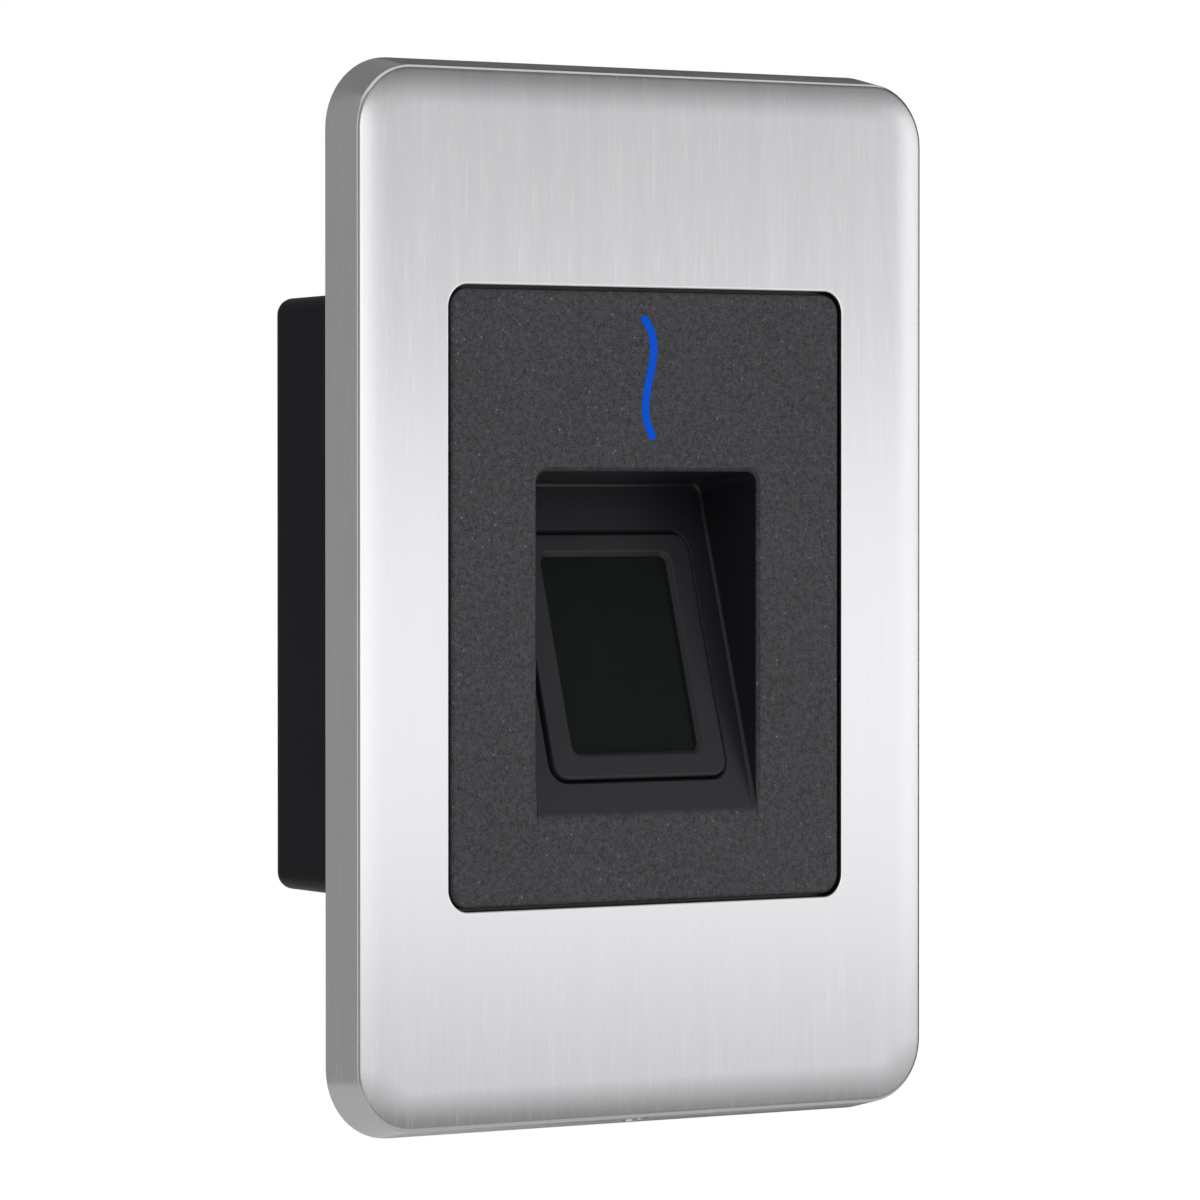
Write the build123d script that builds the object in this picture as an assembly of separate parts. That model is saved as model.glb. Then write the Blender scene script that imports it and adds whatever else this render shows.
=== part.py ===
"""Flush-fitting fingerprint scanner terminal on a wall bracket, in millimetres.

+X is to the right as a user faces it, +Y goes into the wall, +Z is up.
The origin is the middle of the wall bracket's screw pattern, on the wall's surface.
"""

from build123d import *
import math
import os

# --- face plate: drawn steel tray, open to the wall -------------------------------------
PLATE_WIDTH = 85.0
PLATE_HEIGHT = 125.0
PLATE_DEPTH = 5.5
PLATE_CORNER = 8.5
PLATE_SHEET = 1.2
SIDE_LEAN = 1.1  # how far the side wall leans in on its way to the front
ROLL_WIDTH = 4.5  # the front rolls off over this width before its crease
ROLL_DROP = 0.35
CREASE_ROUND = 0.5
RIM_BAND = 6.5  # width of the rim that is swept round the tray

# --- front panel: moulded inset with the finger recess ----------------------------------
PANEL_WIDTH = 57.1
PANEL_HEIGHT = 71.9
PANEL_CORNER = 2.3
PANEL_ROUND = 0.6
PANEL_GAP = 0.35  # round the panel in the tray's window
TAPE = 0.5  # bonding tape between panel flange and tray
FLANGE_THICK = 1.5
FLANGE_MARGIN = 4.0
FLANGE_SKIN = 0.5  # left in front of each wall screw's head
HEAD_POCKET = 10.0  # room for a wall screw's head
RECESS_WIDTH = 32.4
RECESS_TOP = 14.8
RECESS_FOOT = -26.8  # where the sloping floor would meet the face
RECESS_LEAN = 16.2  # degrees between the recess floor and the face
RECESS_TOP_FALL = 1.4  # the recess roof drops by this much on its way in
RECESS_BLEND = 6.0
RECESS_CORNER = 1.4
RECESS_CREASE = 0.45  # rounding where the floor meets walls and roof
RECESS_LIP = 0.4
LIP_FADE = 5.0  # over this height above the foot the lip's bevel fades out
RECESS_WALL = 1.6

# --- status light -------------------------------------------------------------------------
LIGHT_WAVE = [(-0.65, 32.6), (0.68, 29.2), (0.05, 25.7), (-0.52, 22.3), (0.5, 18.9)]
LIGHT_WIDTH = 1.0
LIGHT_FIT = 0.05
LIGHT_FLANGE = (8.0, 16.2, 1.0)
LIGHT_TAIL = 1.2
LED_BOARD = (17.0, 16.5, 1.0)
LED_GAP = 0.4
LED_SIZE = (2.0, 1.6, 0.8)
LED_PITCH = 4.6
BOARD_SCREW_INSET = 1.8  # status board's side to the axis of its screws
LED_BOSS_RADIUS = 1.6

# --- fingerprint sensor, measured square to its window ---------------------------------
SENSOR_Z = -7.1
BEZEL_WIDTH = 25.4
BEZEL_LENGTH = 29.9
BEZEL_CORNER = 2.0
BEZEL_PROUD = 0.4
BEZEL_GAP = 0.25
SLOT_BEVEL = 0.3  # on the recess floor's edge round the bezel
WINDOW_WIDTH = 18.4
WINDOW_LENGTH = 24.0
WINDOW_RISE = 0.25  # window's middle above the bezel's
WINDOW_CORNER = 1.0
WINDOW_SUNK = 0.4
WINDOW_BEVEL = 0.5
GLASS_THICK = 1.2
GLASS_LEDGE = 0.8
SLIP_FIT = 0.1
BEZEL_EAR = 1.8
SEAL_THICK = 0.4
EAR_THICK = 1.2
CELL_WIDTH = 24.0
CELL_LENGTH = 31.0
CELL_DEPTH = 11.2
CELL_WALL = 1.2
CELL_FLANGE_MARGIN = (10.2, 3.6)  # cell's flange past the bezel's width and length
CELL_FLANGE_THICK = 1.4
CELL_BOSS_MARGIN = 2.9  # bezel's side to the axis of the cell's screws
CELL_BOSS_U = 12.5
CELL_BOSS_RADIUS = 1.8
CELL_SCREW = 1.0  # radius of the small screws
SCREW_CLEARANCE = 0.15  # round a small screw's shank
PRISM_WIDTH = 18.5
PRISM_LENGTH = 24.0
LENS_RADIUS = 3.4
LENS_LENGTH = 5.2
LENS_PLACE = 8.4
BOARD_THICK = 1.2

# --- rear housing -------------------------------------------------------------------------
HOUSING_WIDTH = 50.0
HOUSING_HEIGHT = 73.4
HOUSING_BACK = 38.7
HOUSING_CORNER = 3.0
HOUSING_EDGE = 2.0
HOUSING_WALL = 1.8
HOUSING_DRAFT = 1.5  # degrees
HOUSING_SEAL = 0.6
COLUMN_INSET = (5.4, 5.6)  # column's axis in from the housing's side and top
COLUMN_RADIUS = 3.2
COLUMN_FRONT = 10.0
HEAD_RADIUS = 2.4
SHANK_RADIUS = 1.3
HEAD_HEIGHT = 1.6
SCREW_GRIP = 5.0
COLUMN_FLOOR = 2.4  # left under a housing screw's head
COLUMN_BORE_FIT = 0.2
BOSS_RADIUS = 3.0

# --- main board ----------------------------------------------------------------------------
BOARD_INSET = (4.0, 4.5)  # board's edge in from the housing's side and top
BOARD_SETBACK = 9.0  # board's front to the housing's back
MAIN_THICK = 1.6
COLUMN_CLEARANCE = 0.4
STUD_INSET = 3.0  # board's side to the axis of its screws
STUD_Z = 14.0
STUD_RADIUS = 2.2
STUD_BORE = 4.2
PROCESSOR_SIZE = (12.0, 12.0, 1.2)
PROCESSOR_Z = 21.0
MEMORY_SIZE = (6.0, 8.0, 1.0)
MEMORY_PLACE = (12.0, 22.0)
DRIVER_SIZE = (5.0, 4.0, 1.2)
DRIVER_PLACE = (-9.0, -23.0)
CAPACITOR_RADIUS = 3.0
CAPACITOR_HEIGHT = 7.0
CAPACITOR_X = (2.0, 9.5)
CAPACITOR_Z = -27.0
COIL_SIZE = (6.0, 6.0, 3.0)
COIL_PLACE = (-2.0, -18.5)
BUZZER_RADIUS = 4.5
BUZZER_HEIGHT = 5.5
BUZZER_PLACE = (-12.0, 12.0)
BUZZER_HOLE = 0.9
SOCKET_WALL = 0.9
SOCKET_MOUTH = 5.2  # inner height of both wiring sockets
SOCKET_FLOOR = 1.2
PIN_SIZE = 0.8
PIN_LENGTH = 2.6
SIGNAL_SOCKET = (-15.0, 10, 2.5)  # height on the board, pins, pitch
POWER_SOCKET = (-25.5, 6, 3.5)
OPENING_CLEARANCE = 0.4
DIP_PLACE = (-9.5, 22.0)
DIP_SIZE = (7.0, 16.2, 3.6)
DIP_COUNT = 6
DIP_PITCH = 2.54
DIP_TRAVEL = 1.6
DIP_KNOB = (1.2, 1.1, 1.0)
DIP_SLOT = (3.2, 1.4, 1.4)
RESET_PLACE = (10.0, 22.0)
RESET_BODY = 6.0
RESET_DEPTH = 3.8
PLUNGER_FLOOR = 1.2  # left under a switch's plunger bore
RESET_RECESS = 1.4  # button's end in from the housing's back
RESET_RADIUS = 1.5
RESET_TRAVEL = 0.4
RUNNING_FIT = 0.06

# --- wall bracket --------------------------------------------------------------------------
BRACKET_SIDE = 4.5  # bracket's side in from the tray's
BRACKET_HEAD = 7.5
BRACKET_HEEL = 6.5
BRACKET_CORNER = 4.0
BRACKET_SHEET = 1.2
BRACKET_GAP = 0.8  # round the rear housing
GANG_SPACING = 83.3
GANG_SLOT = (5.0, 2.0)  # slot length and half its width
ROUND_BOX_SPACING = 60.0
ROUND_BOX_HOLE = 2.0
HOOK_X = 24.0
HOOK_WIDTH = 12.0
HOOK_CLEARANCE = 0.3
HANGER_SHEET = 0.8
HANGER_DROP = 2.0
HANGER_TIP_GAP = 1.0
HANGER_PAD = 1.6
LOCK_TAB_WIDTH = 16.0
LOCK_TAB_HEEL = 3.3
LOCK_RADIUS = 1.25
LOCK_LENGTH = 3.6
LOCK_Y = -2.75
LOCK_HOLE = 1.5
LOCK_FIT = 0.03
TONGUE_WIDTH = 8.0
TONGUE_REACH = 7.0

# --- tamper switch --------------------------------------------------------------------------
TAMPER_BODY = (6.0, 3.6, 5.0)
TAMPER_FOOT = 27.2
TAMPER_RADIUS = 1.2
TAMPER_GAP = 0.3
TAMPER_TRAVEL_ROOM = 1.0

# --- places worked out from the sizes above ----------------------------------------------
FACE = -PLATE_DEPTH
SHEET_BACK = FACE + PLATE_SHEET
FLANGE_FRONT = SHEET_BACK + TAPE
PANEL_BACK = FLANGE_FRONT + FLANGE_THICK
HOUSING_FRONT = PANEL_BACK + HOUSING_SEAL
LEAN = math.radians(RECESS_LEAN)
CELL_FRONT = -RECESS_WALL - SEAL_THICK - EAR_THICK
CELL_REAR = CELL_FRONT - CELL_FLANGE_THICK - CELL_DEPTH
CELL_BOSS_X = BEZEL_WIDTH / 2 + CELL_BOSS_MARGIN
GLASS_BACK = BEZEL_PROUD - WINDOW_SUNK - GLASS_THICK - WINDOW_BEVEL
COLUMN_X = HOUSING_WIDTH / 2 - COLUMN_INSET[0]
COLUMN_Z = HOUSING_HEIGHT / 2 - COLUMN_INSET[1]
MAIN_WIDTH = HOUSING_WIDTH - 2 * BOARD_INSET[0]
MAIN_HEIGHT = HOUSING_HEIGHT - 2 * BOARD_INSET[1]
MAIN_FRONT = HOUSING_BACK - BOARD_SETBACK
MAIN_BACK = MAIN_FRONT + MAIN_THICK
STUD_X = MAIN_WIDTH / 2 - STUD_INSET
HOUSING_FLOOR = HOUSING_BACK - HOUSING_WALL
HOLE_TOP = HOUSING_HEIGHT / 2 + BRACKET_GAP
BRACKET_WIDTH = PLATE_WIDTH - 2 * BRACKET_SIDE
BRACKET_TOP = PLATE_HEIGHT / 2 - BRACKET_HEAD
BRACKET_FOOT = BRACKET_HEEL - PLATE_HEIGHT / 2
LOCK_TAB_FOOT = LOCK_TAB_HEEL - PLATE_HEIGHT / 2


def floor_depth(z):
    """Where the recess floor lies at a height: its Y."""
    return FACE + math.tan(LEAN) * (z - RECESS_FOOT)


SENSOR = Plane(
    origin=(0, floor_depth(SENSOR_Z), SENSOR_Z),
    x_dir=(1, 0, 0),
    z_dir=(0, -math.cos(LEAN), math.sin(LEAN)),
)


# --- small helpers --------------------------------------------------------------------------
def slab(width, height, front, back, corner=0.0, x=0.0, z=0.0):
    """A plate parallel to the wall between two Y places, with rounded corners."""
    outline = RectangleRounded(width, height, corner) if corner else Rectangle(width, height)
    return extrude(Plane.XZ.offset(-back) * Pos(x, z) * outline, back - front)


def rod(radius, front, back, x=0.0, z=0.0):
    """A round bar square to the wall."""
    return extrude(Plane.XZ.offset(-back) * Pos(x, z) * Circle(radius), back - front)


def post(radius, low, high, x=0.0, y=0.0):
    """An upright round bar."""
    return extrude(Plane.XY.offset(low) * Pos(x, y) * Circle(radius), high - low)


def block(width, depth, height, x, y, z):
    """A box from its middle place and sizes along X, Y and Z."""
    return Pos(x, y, z) * Box(width, depth, height)


def layer(width, length, low, high, corner=0.0, x=0.0, y=0.0):
    """A plate in the sensor's own frame between two heights off the recess floor."""
    outline = RectangleRounded(width, length, corner) if corner else Rectangle(width, length)
    return extrude(Pos(x, y, low) * outline, high - low)


def corners(x, z):
    """The four places mirrored about both axes."""
    return [(i * x, j * z) for i in (-1, 1) for j in (-1, 1)]


def countersunk_head(radius, height, recess):
    """A round screw head standing on XY, domed on top, with a cross recess."""
    head = extrude(Circle(radius), height)
    head = fillet(head.edges().group_by(Axis.Z)[-1], height * 0.45)
    cross = Rectangle(recess * 2, recess * 0.45) + Rectangle(recess * 0.45, recess * 2)
    return head - extrude(Pos(0, 0, height * 0.45) * cross, height)


def machine_screw(head_radius, head_height, shank_radius, length):
    """A screw with the underside of its head on XY and its shank going down."""
    head = countersunk_head(head_radius, head_height, head_radius * 0.55)
    shank = extrude(Pos(0, 0, -length) * Circle(shank_radius), length + head_height * 0.2)
    return head + chamfer(shank.edges().group_by(Axis.Z)[0], shank_radius * 0.35)


# --- face plate -------------------------------------------------------------------------------
def plate_section():
    """The rim's cross-section: across is inward from the outer edge, up is towards the front."""
    crease = (SIDE_LEAN, PLATE_DEPTH - ROLL_DROP)
    roll_end = (SIDE_LEAN + ROLL_WIDTH, PLATE_DEPTH)
    inner_crease = (SIDE_LEAN + PLATE_SHEET, PLATE_DEPTH - PLATE_SHEET)
    outline = Line((0, 0), crease)
    outline += RadiusArc(crease, roll_end, (ROLL_WIDTH**2 + ROLL_DROP**2) / (2 * ROLL_DROP))
    outline += Line(roll_end, (RIM_BAND, PLATE_DEPTH))
    outline += Line((RIM_BAND, PLATE_DEPTH), (RIM_BAND, PLATE_DEPTH - PLATE_SHEET))
    outline += Line((RIM_BAND, PLATE_DEPTH - PLATE_SHEET), inner_crease)
    outline += Line(inner_crease, (PLATE_SHEET, 0))
    outline += Line((PLATE_SHEET, 0), (0, 0))
    section = make_face(outline)
    outer = section.vertices().sort_by_distance(crease)[0]
    section = fillet(outer, CREASE_ROUND)
    inner = section.vertices().sort_by_distance(inner_crease)[0]
    return fillet(inner, CREASE_ROUND)


def face_plate():
    """Steel tray: a rim swept round the outline, a flat front and the panel's window."""
    path = Plane.XZ * RectangleRounded(PLATE_WIDTH, PLATE_HEIGHT, PLATE_CORNER)
    start = Plane(origin=(-PLATE_WIDTH / 2, 0, 0), x_dir=(1, 0, 0), z_dir=(0, 0, 1))
    section = start * mirror(plate_section(), Plane.XZ)
    rim = sweep(section, path.wire())
    flat_corner = PLATE_CORNER - RIM_BAND
    front = slab(
        PLATE_WIDTH - 2 * RIM_BAND,
        PLATE_HEIGHT - 2 * RIM_BAND,
        FACE,
        SHEET_BACK,
        flat_corner,
    )
    window = slab(
        PANEL_WIDTH + 2 * PANEL_GAP,
        PANEL_HEIGHT + 2 * PANEL_GAP,
        FACE - 1,
        SHEET_BACK + 1,
        PANEL_CORNER + PANEL_GAP,
    )
    lock_hole = post(LOCK_HOLE, -PLATE_HEIGHT / 2 - 1, -PLATE_HEIGHT / 2 + 4, 0, LOCK_Y)
    return rim + front - window - lock_hole


def hook_height():
    """The top of the bracket's hooks."""
    return BRACKET_TOP + HANGER_TIP_GAP + HANGER_DROP - HOOK_CLEARANCE


def hangers():
    """Two bent strips inside the tray's top that drop behind the bracket's hooks."""
    strips = []
    roof = hook_height() + HOOK_CLEARANCE
    lip_back = -BRACKET_SHEET
    lip_front = lip_back - HANGER_SHEET
    for side in (-1, 1):
        x = side * HOOK_X
        middle = (SHEET_BACK + lip_back) / 2
        span = lip_back - SHEET_BACK
        strip = block(HOOK_WIDTH, span, HANGER_SHEET, x, middle, roof + HANGER_SHEET / 2)
        lip = HANGER_DROP + HANGER_SHEET
        lip_y = (lip_front + lip_back) / 2
        strip += block(HOOK_WIDTH, HANGER_SHEET, lip, x, lip_y, roof + HANGER_SHEET - lip / 2)
        pad_y = SHEET_BACK + HANGER_SHEET / 2
        strip += block(HOOK_WIDTH, HANGER_SHEET, HANGER_PAD, x, pad_y, roof + HANGER_PAD / 2)
        strips.append(strip)
    return Compound(children=strips)


# --- front panel ------------------------------------------------------------------------------
def recess_profile(clear):
    """Side view of the finger recess as (Y, Z), grown by a clearance, open at the front."""
    lean = math.tan(LEAN)
    grow = clear / math.cos(LEAN)
    tangent = RECESS_BLEND * math.tan(LEAN / 2)
    foot = RECESS_FOOT - grow / math.sin(LEAN) * math.cos(LEAN)
    roof = RECESS_TOP + clear
    depth = (roof - RECESS_TOP_FALL - foot) * lean
    inner = (FACE + depth, roof - RECESS_TOP_FALL)
    low = (FACE, foot - tangent)
    high = (FACE + tangent * math.sin(LEAN), foot + tangent * math.cos(LEAN))
    outline = Line((FACE - 2, low[1]), low)
    outline += TangentArc(low, high, tangent=(0, 1))
    outline += Line(high, inner)
    outline += Line(inner, (FACE, roof))
    outline += Line((FACE, roof), (FACE - 2, roof))
    outline += Line((FACE - 2, roof), (FACE - 2, low[1]))
    return make_face(outline)


def recess_void(clear=0.0):
    """The finger recess itself as a solid, its roof corners rounded."""
    width = RECESS_WIDTH + 2 * clear
    side_view = Plane.YZ.offset(-width / 2) * recess_profile(clear)
    void = extrude(side_view, width)
    top = void.edges().filter_by(Axis.Y) + void.edges().filter_by(
        lambda e: e.center().Z > RECESS_TOP - RECESS_TOP_FALL and abs(e.center().X) > width / 2 - 0.01
    )
    roof = [e for e in top if e.center().Z > RECESS_TOP - RECESS_TOP_FALL]
    return fillet(roof, RECESS_CORNER + clear)


def finger_recess():
    """The finger recess with the creases round its floor softened."""
    void = recess_void()
    floor_normal = SENSOR.z_dir
    floor = [f for f in void.faces() if abs(f.normal_at().dot(floor_normal)) > 0.9999]
    floor_edges = max(floor, key=lambda f: f.area).edges()
    creases = [e for e in floor_edges if e.center().Z > RECESS_FOOT + RECESS_BLEND]
    return fillet(creases, RECESS_CREASE)


def recess_lip():
    """The bevel round the recess mouth, which fades out down both sides."""
    low = RECESS_FOOT + LIP_FADE
    bottom = low - LIP_FADE
    top = RECESS_TOP + RECESS_LIP
    outline = Pos(0, (bottom + top) / 2) * RectangleRounded(
        RECESS_WIDTH + 2 * RECESS_LIP, top - bottom, RECESS_CORNER + RECESS_LIP
    )
    ring = extrude(Plane.XZ.offset(-FACE) * outline, -RECESS_LIP, taper=45)
    bevel = ring - slab(2 * RECESS_WIDTH, LIP_FADE, FACE - 1, FACE + 1, 0, 0, low - LIP_FADE / 2)
    faint = RECESS_LIP / 12
    for side in (-1, 1):
        edge = side * RECESS_WIDTH / 2
        ends = []
        for size, z in ((RECESS_LIP, low), (faint, RECESS_FOOT)):
            outer = (edge + side * size, FACE, z)
            ends.append(make_face(Polyline((edge, FACE, z), outer, (edge, FACE + size, z), close=True)))
        bevel += loft(ends)
    return bevel


def front_panel():
    """Moulded panel: flush face, bonded flange, recess cup, screw bosses and light slot."""
    face = slab(PANEL_WIDTH, PANEL_HEIGHT, FACE, PANEL_BACK, PANEL_CORNER)
    face = fillet(face.edges().group_by(Axis.Y)[0], PANEL_ROUND)
    flange = slab(
        PANEL_WIDTH + 2 * FLANGE_MARGIN,
        PANEL_HEIGHT + 2 * FLANGE_MARGIN,
        FLANGE_FRONT,
        PANEL_BACK,
        PANEL_CORNER + FLANGE_MARGIN,
    )
    cup = recess_void(RECESS_WALL) & slab(60, 80, FLANGE_FRONT, HOUSING_BACK)
    panel = face + flange + cup
    for x, z in corners(COLUMN_X, COLUMN_Z):
        panel += rod(BOSS_RADIUS, PANEL_BACK - 0.5, COLUMN_FRONT - 0.2, x, z)
    for x in led_screw_places():
        panel += rod(LED_BOSS_RADIUS, PANEL_BACK - 0.5, led_board_front(), x, light_middle())
    for x, u in corners(CELL_BOSS_X, CELL_BOSS_U):
        panel += SENSOR * extrude(Pos(x, u, CELL_FRONT) * Circle(CELL_BOSS_RADIUS), -CELL_FRONT - 0.5)
    panel -= finger_recess()
    panel -= recess_lip()
    panel -= SENSOR * layer(
        BEZEL_WIDTH + 2 * BEZEL_GAP,
        BEZEL_LENGTH + 2 * BEZEL_GAP,
        -RECESS_WALL - 4,
        2,
        BEZEL_CORNER + BEZEL_GAP,
    )
    panel -= SENSOR * floor_bevel()
    ears = ears_size()
    panel -= SENSOR * layer(
        ears[0] + 2 * SLIP_FIT, ears[1] + 2 * SLIP_FIT, CELL_FRONT - 1, -RECESS_WALL, BEZEL_CORNER
    )
    for x, z in corners(COLUMN_X, COLUMN_Z):
        panel -= rod(SHANK_RADIUS, COLUMN_FRONT - SCREW_GRIP - 1.2, COLUMN_FRONT, x, z)
    for x in led_screw_places():
        panel -= rod(CELL_SCREW, led_board_front() - 2.6, led_board_front(), x, light_middle())
    for x, u in corners(CELL_BOSS_X, CELL_BOSS_U):
        panel -= SENSOR * extrude(Pos(x, u, CELL_FRONT - 0.01) * Circle(CELL_SCREW), 2.4)
    panel -= light_bar(LIGHT_WIDTH + 2 * LIGHT_FIT, FACE - 1, PANEL_BACK + 1)
    pocket_floor = FLANGE_FRONT + FLANGE_SKIN
    for z in (-GANG_SPACING / 2, GANG_SPACING / 2):
        panel -= slab(HEAD_POCKET, HEAD_POCKET, pocket_floor, PANEL_BACK + 1, 1.0, 0, z)
    for x in (-ROUND_BOX_SPACING / 2, ROUND_BOX_SPACING / 2):
        panel -= slab(HEAD_POCKET, HEAD_POCKET, pocket_floor, PANEL_BACK + 1, 1.0, x, 0)
    return panel


def floor_bevel():
    """Bevel on the recess floor's edge round the bezel."""
    reach = 2 * (BEZEL_GAP + SLOT_BEVEL)
    outline = RectangleRounded(BEZEL_WIDTH + reach, BEZEL_LENGTH + reach, BEZEL_CORNER + reach / 2)
    return extrude(Pos(0, 0, 0.01) * outline, -SLOT_BEVEL, taper=45)


def panel_tape():
    """Foam bonding frame between the panel's flange and the tray."""
    outer = slab(
        PANEL_WIDTH + 2 * FLANGE_MARGIN - 1,
        PANEL_HEIGHT + 2 * FLANGE_MARGIN - 1,
        SHEET_BACK,
        FLANGE_FRONT,
        PANEL_CORNER + FLANGE_MARGIN - 0.5,
    )
    inner = slab(
        PANEL_WIDTH + 2 * PANEL_GAP + 1,
        PANEL_HEIGHT + 2 * PANEL_GAP + 1,
        SHEET_BACK - 1,
        FLANGE_FRONT + 1,
        PANEL_CORNER + PANEL_GAP + 0.5,
    )
    return outer - inner


# --- status light ---------------------------------------------------------------------------
def light_middle():
    """Height of the status light's middle."""
    heights = [z for _, z in LIGHT_WAVE]
    return (max(heights) + min(heights)) / 2


def led_board_front():
    """Y of the status board's front face."""
    return PANEL_BACK + LIGHT_FLANGE[2] + LIGHT_TAIL + LED_SIZE[2] + LED_GAP


def led_screw_places():
    """X of the status board's two screws."""
    x = LED_BOARD[0] / 2 - BOARD_SCREW_INSET
    return (-x, x)


def light_bar(width, front, back):
    """A wavy bar with round ends, square to the face."""
    wave = Spline([Vector(x, z) for x, z in LIGHT_WAVE])
    bar = trace(wave, width)
    ends = [Pos(x, z) * Circle(width / 2) for x, z in (LIGHT_WAVE[0], LIGHT_WAVE[-1])]
    outline = Sketch() + bar + ends
    return extrude(Plane.XZ.offset(-back) * outline, back - front)


def light_guide():
    """Clear wavy bar with a flange behind the panel."""
    width, height, thick = LIGHT_FLANGE
    flange = slab(width, height, PANEL_BACK, PANEL_BACK + thick, 1.0, 0, light_middle())
    tail = slab(3.0, height - 3, PANEL_BACK + thick - 0.1, PANEL_BACK + thick + LIGHT_TAIL, 1.0, 0,
                light_middle())
    return light_bar(LIGHT_WIDTH, FACE - 0.05, PANEL_BACK + 0.1) + flange + tail


def status_board():
    """Small board behind the light guide."""
    width, height, thick = LED_BOARD
    front = led_board_front()
    board = slab(width, height, front, front + thick, 1.0, 0, light_middle())
    for x in led_screw_places():
        board -= rod(CELL_SCREW + SCREW_CLEARANCE, front - 1, front + thick + 1, x, light_middle())
    return board


def status_leds():
    """Three lamps in a row on the status board."""
    back = led_board_front()
    width, height, thick = LED_SIZE
    lamps = []
    for step in (-1, 0, 1):
        z = light_middle() + step * LED_PITCH
        base = slab(width, height, back - thick * 0.6, back, 0.2, 0, z)
        lamps.append(base + slab(width * 0.6, height * 0.7, back - thick, back - thick * 0.5, 0.2, 0, z))
    return Compound(children=lamps)


def status_screws():
    """The two screws that hold the status board."""
    seat = led_board_front() + LED_BOARD[2]
    screws = []
    for x in led_screw_places():
        place = Plane(origin=(x, seat, light_middle()), z_dir=(0, 1, 0), x_dir=(1, 0, 0))
        screws.append(place * machine_screw(1.7, 1.0, CELL_SCREW - 0.02, 3.2))
    return Compound(children=screws)


# --- fingerprint sensor -----------------------------------------------------------------------
def ears_size():
    """Width and length over the bezel's ears."""
    return (BEZEL_WIDTH + BEZEL_EAR, BEZEL_LENGTH + 2 * BEZEL_EAR)


def sensor_bezel():
    """Satin frame round the window with a sloping inner edge and rear ears."""
    low = -RECESS_WALL - SEAL_THICK
    body = layer(BEZEL_WIDTH, BEZEL_LENGTH, low - 0.1, BEZEL_PROUD, BEZEL_CORNER)
    body = fillet(body.edges().group_by(Axis.Z)[-1], 0.3)
    ears = ears_size()
    body += layer(ears[0], ears[1], CELL_FRONT, low, BEZEL_CORNER)
    glass_front = GLASS_BACK + GLASS_THICK
    opening = layer(
        WINDOW_WIDTH, WINDOW_LENGTH, glass_front - 1, BEZEL_PROUD + 1, WINDOW_CORNER, 0, WINDOW_RISE
    )
    bevel_high = BEZEL_PROUD + 0.01
    bevel = Pos(0, WINDOW_RISE, bevel_high) * extrude(
        RectangleRounded(
            WINDOW_WIDTH + 2 * WINDOW_BEVEL, WINDOW_LENGTH + 2 * WINDOW_BEVEL, WINDOW_CORNER + WINDOW_BEVEL
        ),
        -WINDOW_BEVEL,
        taper=45,
    )
    seat = glass_seat()
    pocket = layer(
        seat[0] + 2 * SLIP_FIT, seat[1] + 2 * SLIP_FIT, CELL_FRONT - 1, glass_front, WINDOW_CORNER,
        0, WINDOW_RISE,
    )
    return SENSOR * (body - opening - bevel - pocket)


def glass_seat():
    """Width and length of the window glass behind the bezel's lip."""
    return (WINDOW_WIDTH + 2 * GLASS_LEDGE, WINDOW_LENGTH + 2 * GLASS_LEDGE)


def sensor_window():
    """Coated glass plate under the bezel's lip."""
    width, length = glass_seat()
    glass = layer(
        width, length, GLASS_BACK, GLASS_BACK + GLASS_THICK, WINDOW_CORNER, 0, WINDOW_RISE
    )
    return SENSOR * chamfer(glass.edges().group_by(Axis.Z)[-1], 0.1)


def sensor_prism():
    """Optical prism behind the window, cut back towards the lens."""
    half = PRISM_LENGTH / 2
    deep = CELL_REAR + 5.4
    outline = Polyline(
        (-half, GLASS_BACK),
        (half, GLASS_BACK),
        (half, GLASS_BACK - 2.2),
        (-half * 0.3, deep),
        (-half, deep),
        close=True,
    )
    side = Plane.YZ.offset(-PRISM_WIDTH / 2) * make_face(outline)
    return SENSOR * extrude(side, PRISM_WIDTH)


def sensor_seal():
    """Rubber frame between the bezel's ears and the back of the recess floor."""
    ears = ears_size()
    low = -RECESS_WALL - SEAL_THICK
    frame = layer(ears[0], ears[1], low, -RECESS_WALL, BEZEL_CORNER)
    hole = (BEZEL_WIDTH + 2 * SLIP_FIT, BEZEL_LENGTH + 2 * SLIP_FIT)
    return SENSOR * (frame - layer(hole[0], hole[1], low - 1, 0, BEZEL_CORNER + SLIP_FIT))


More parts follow.
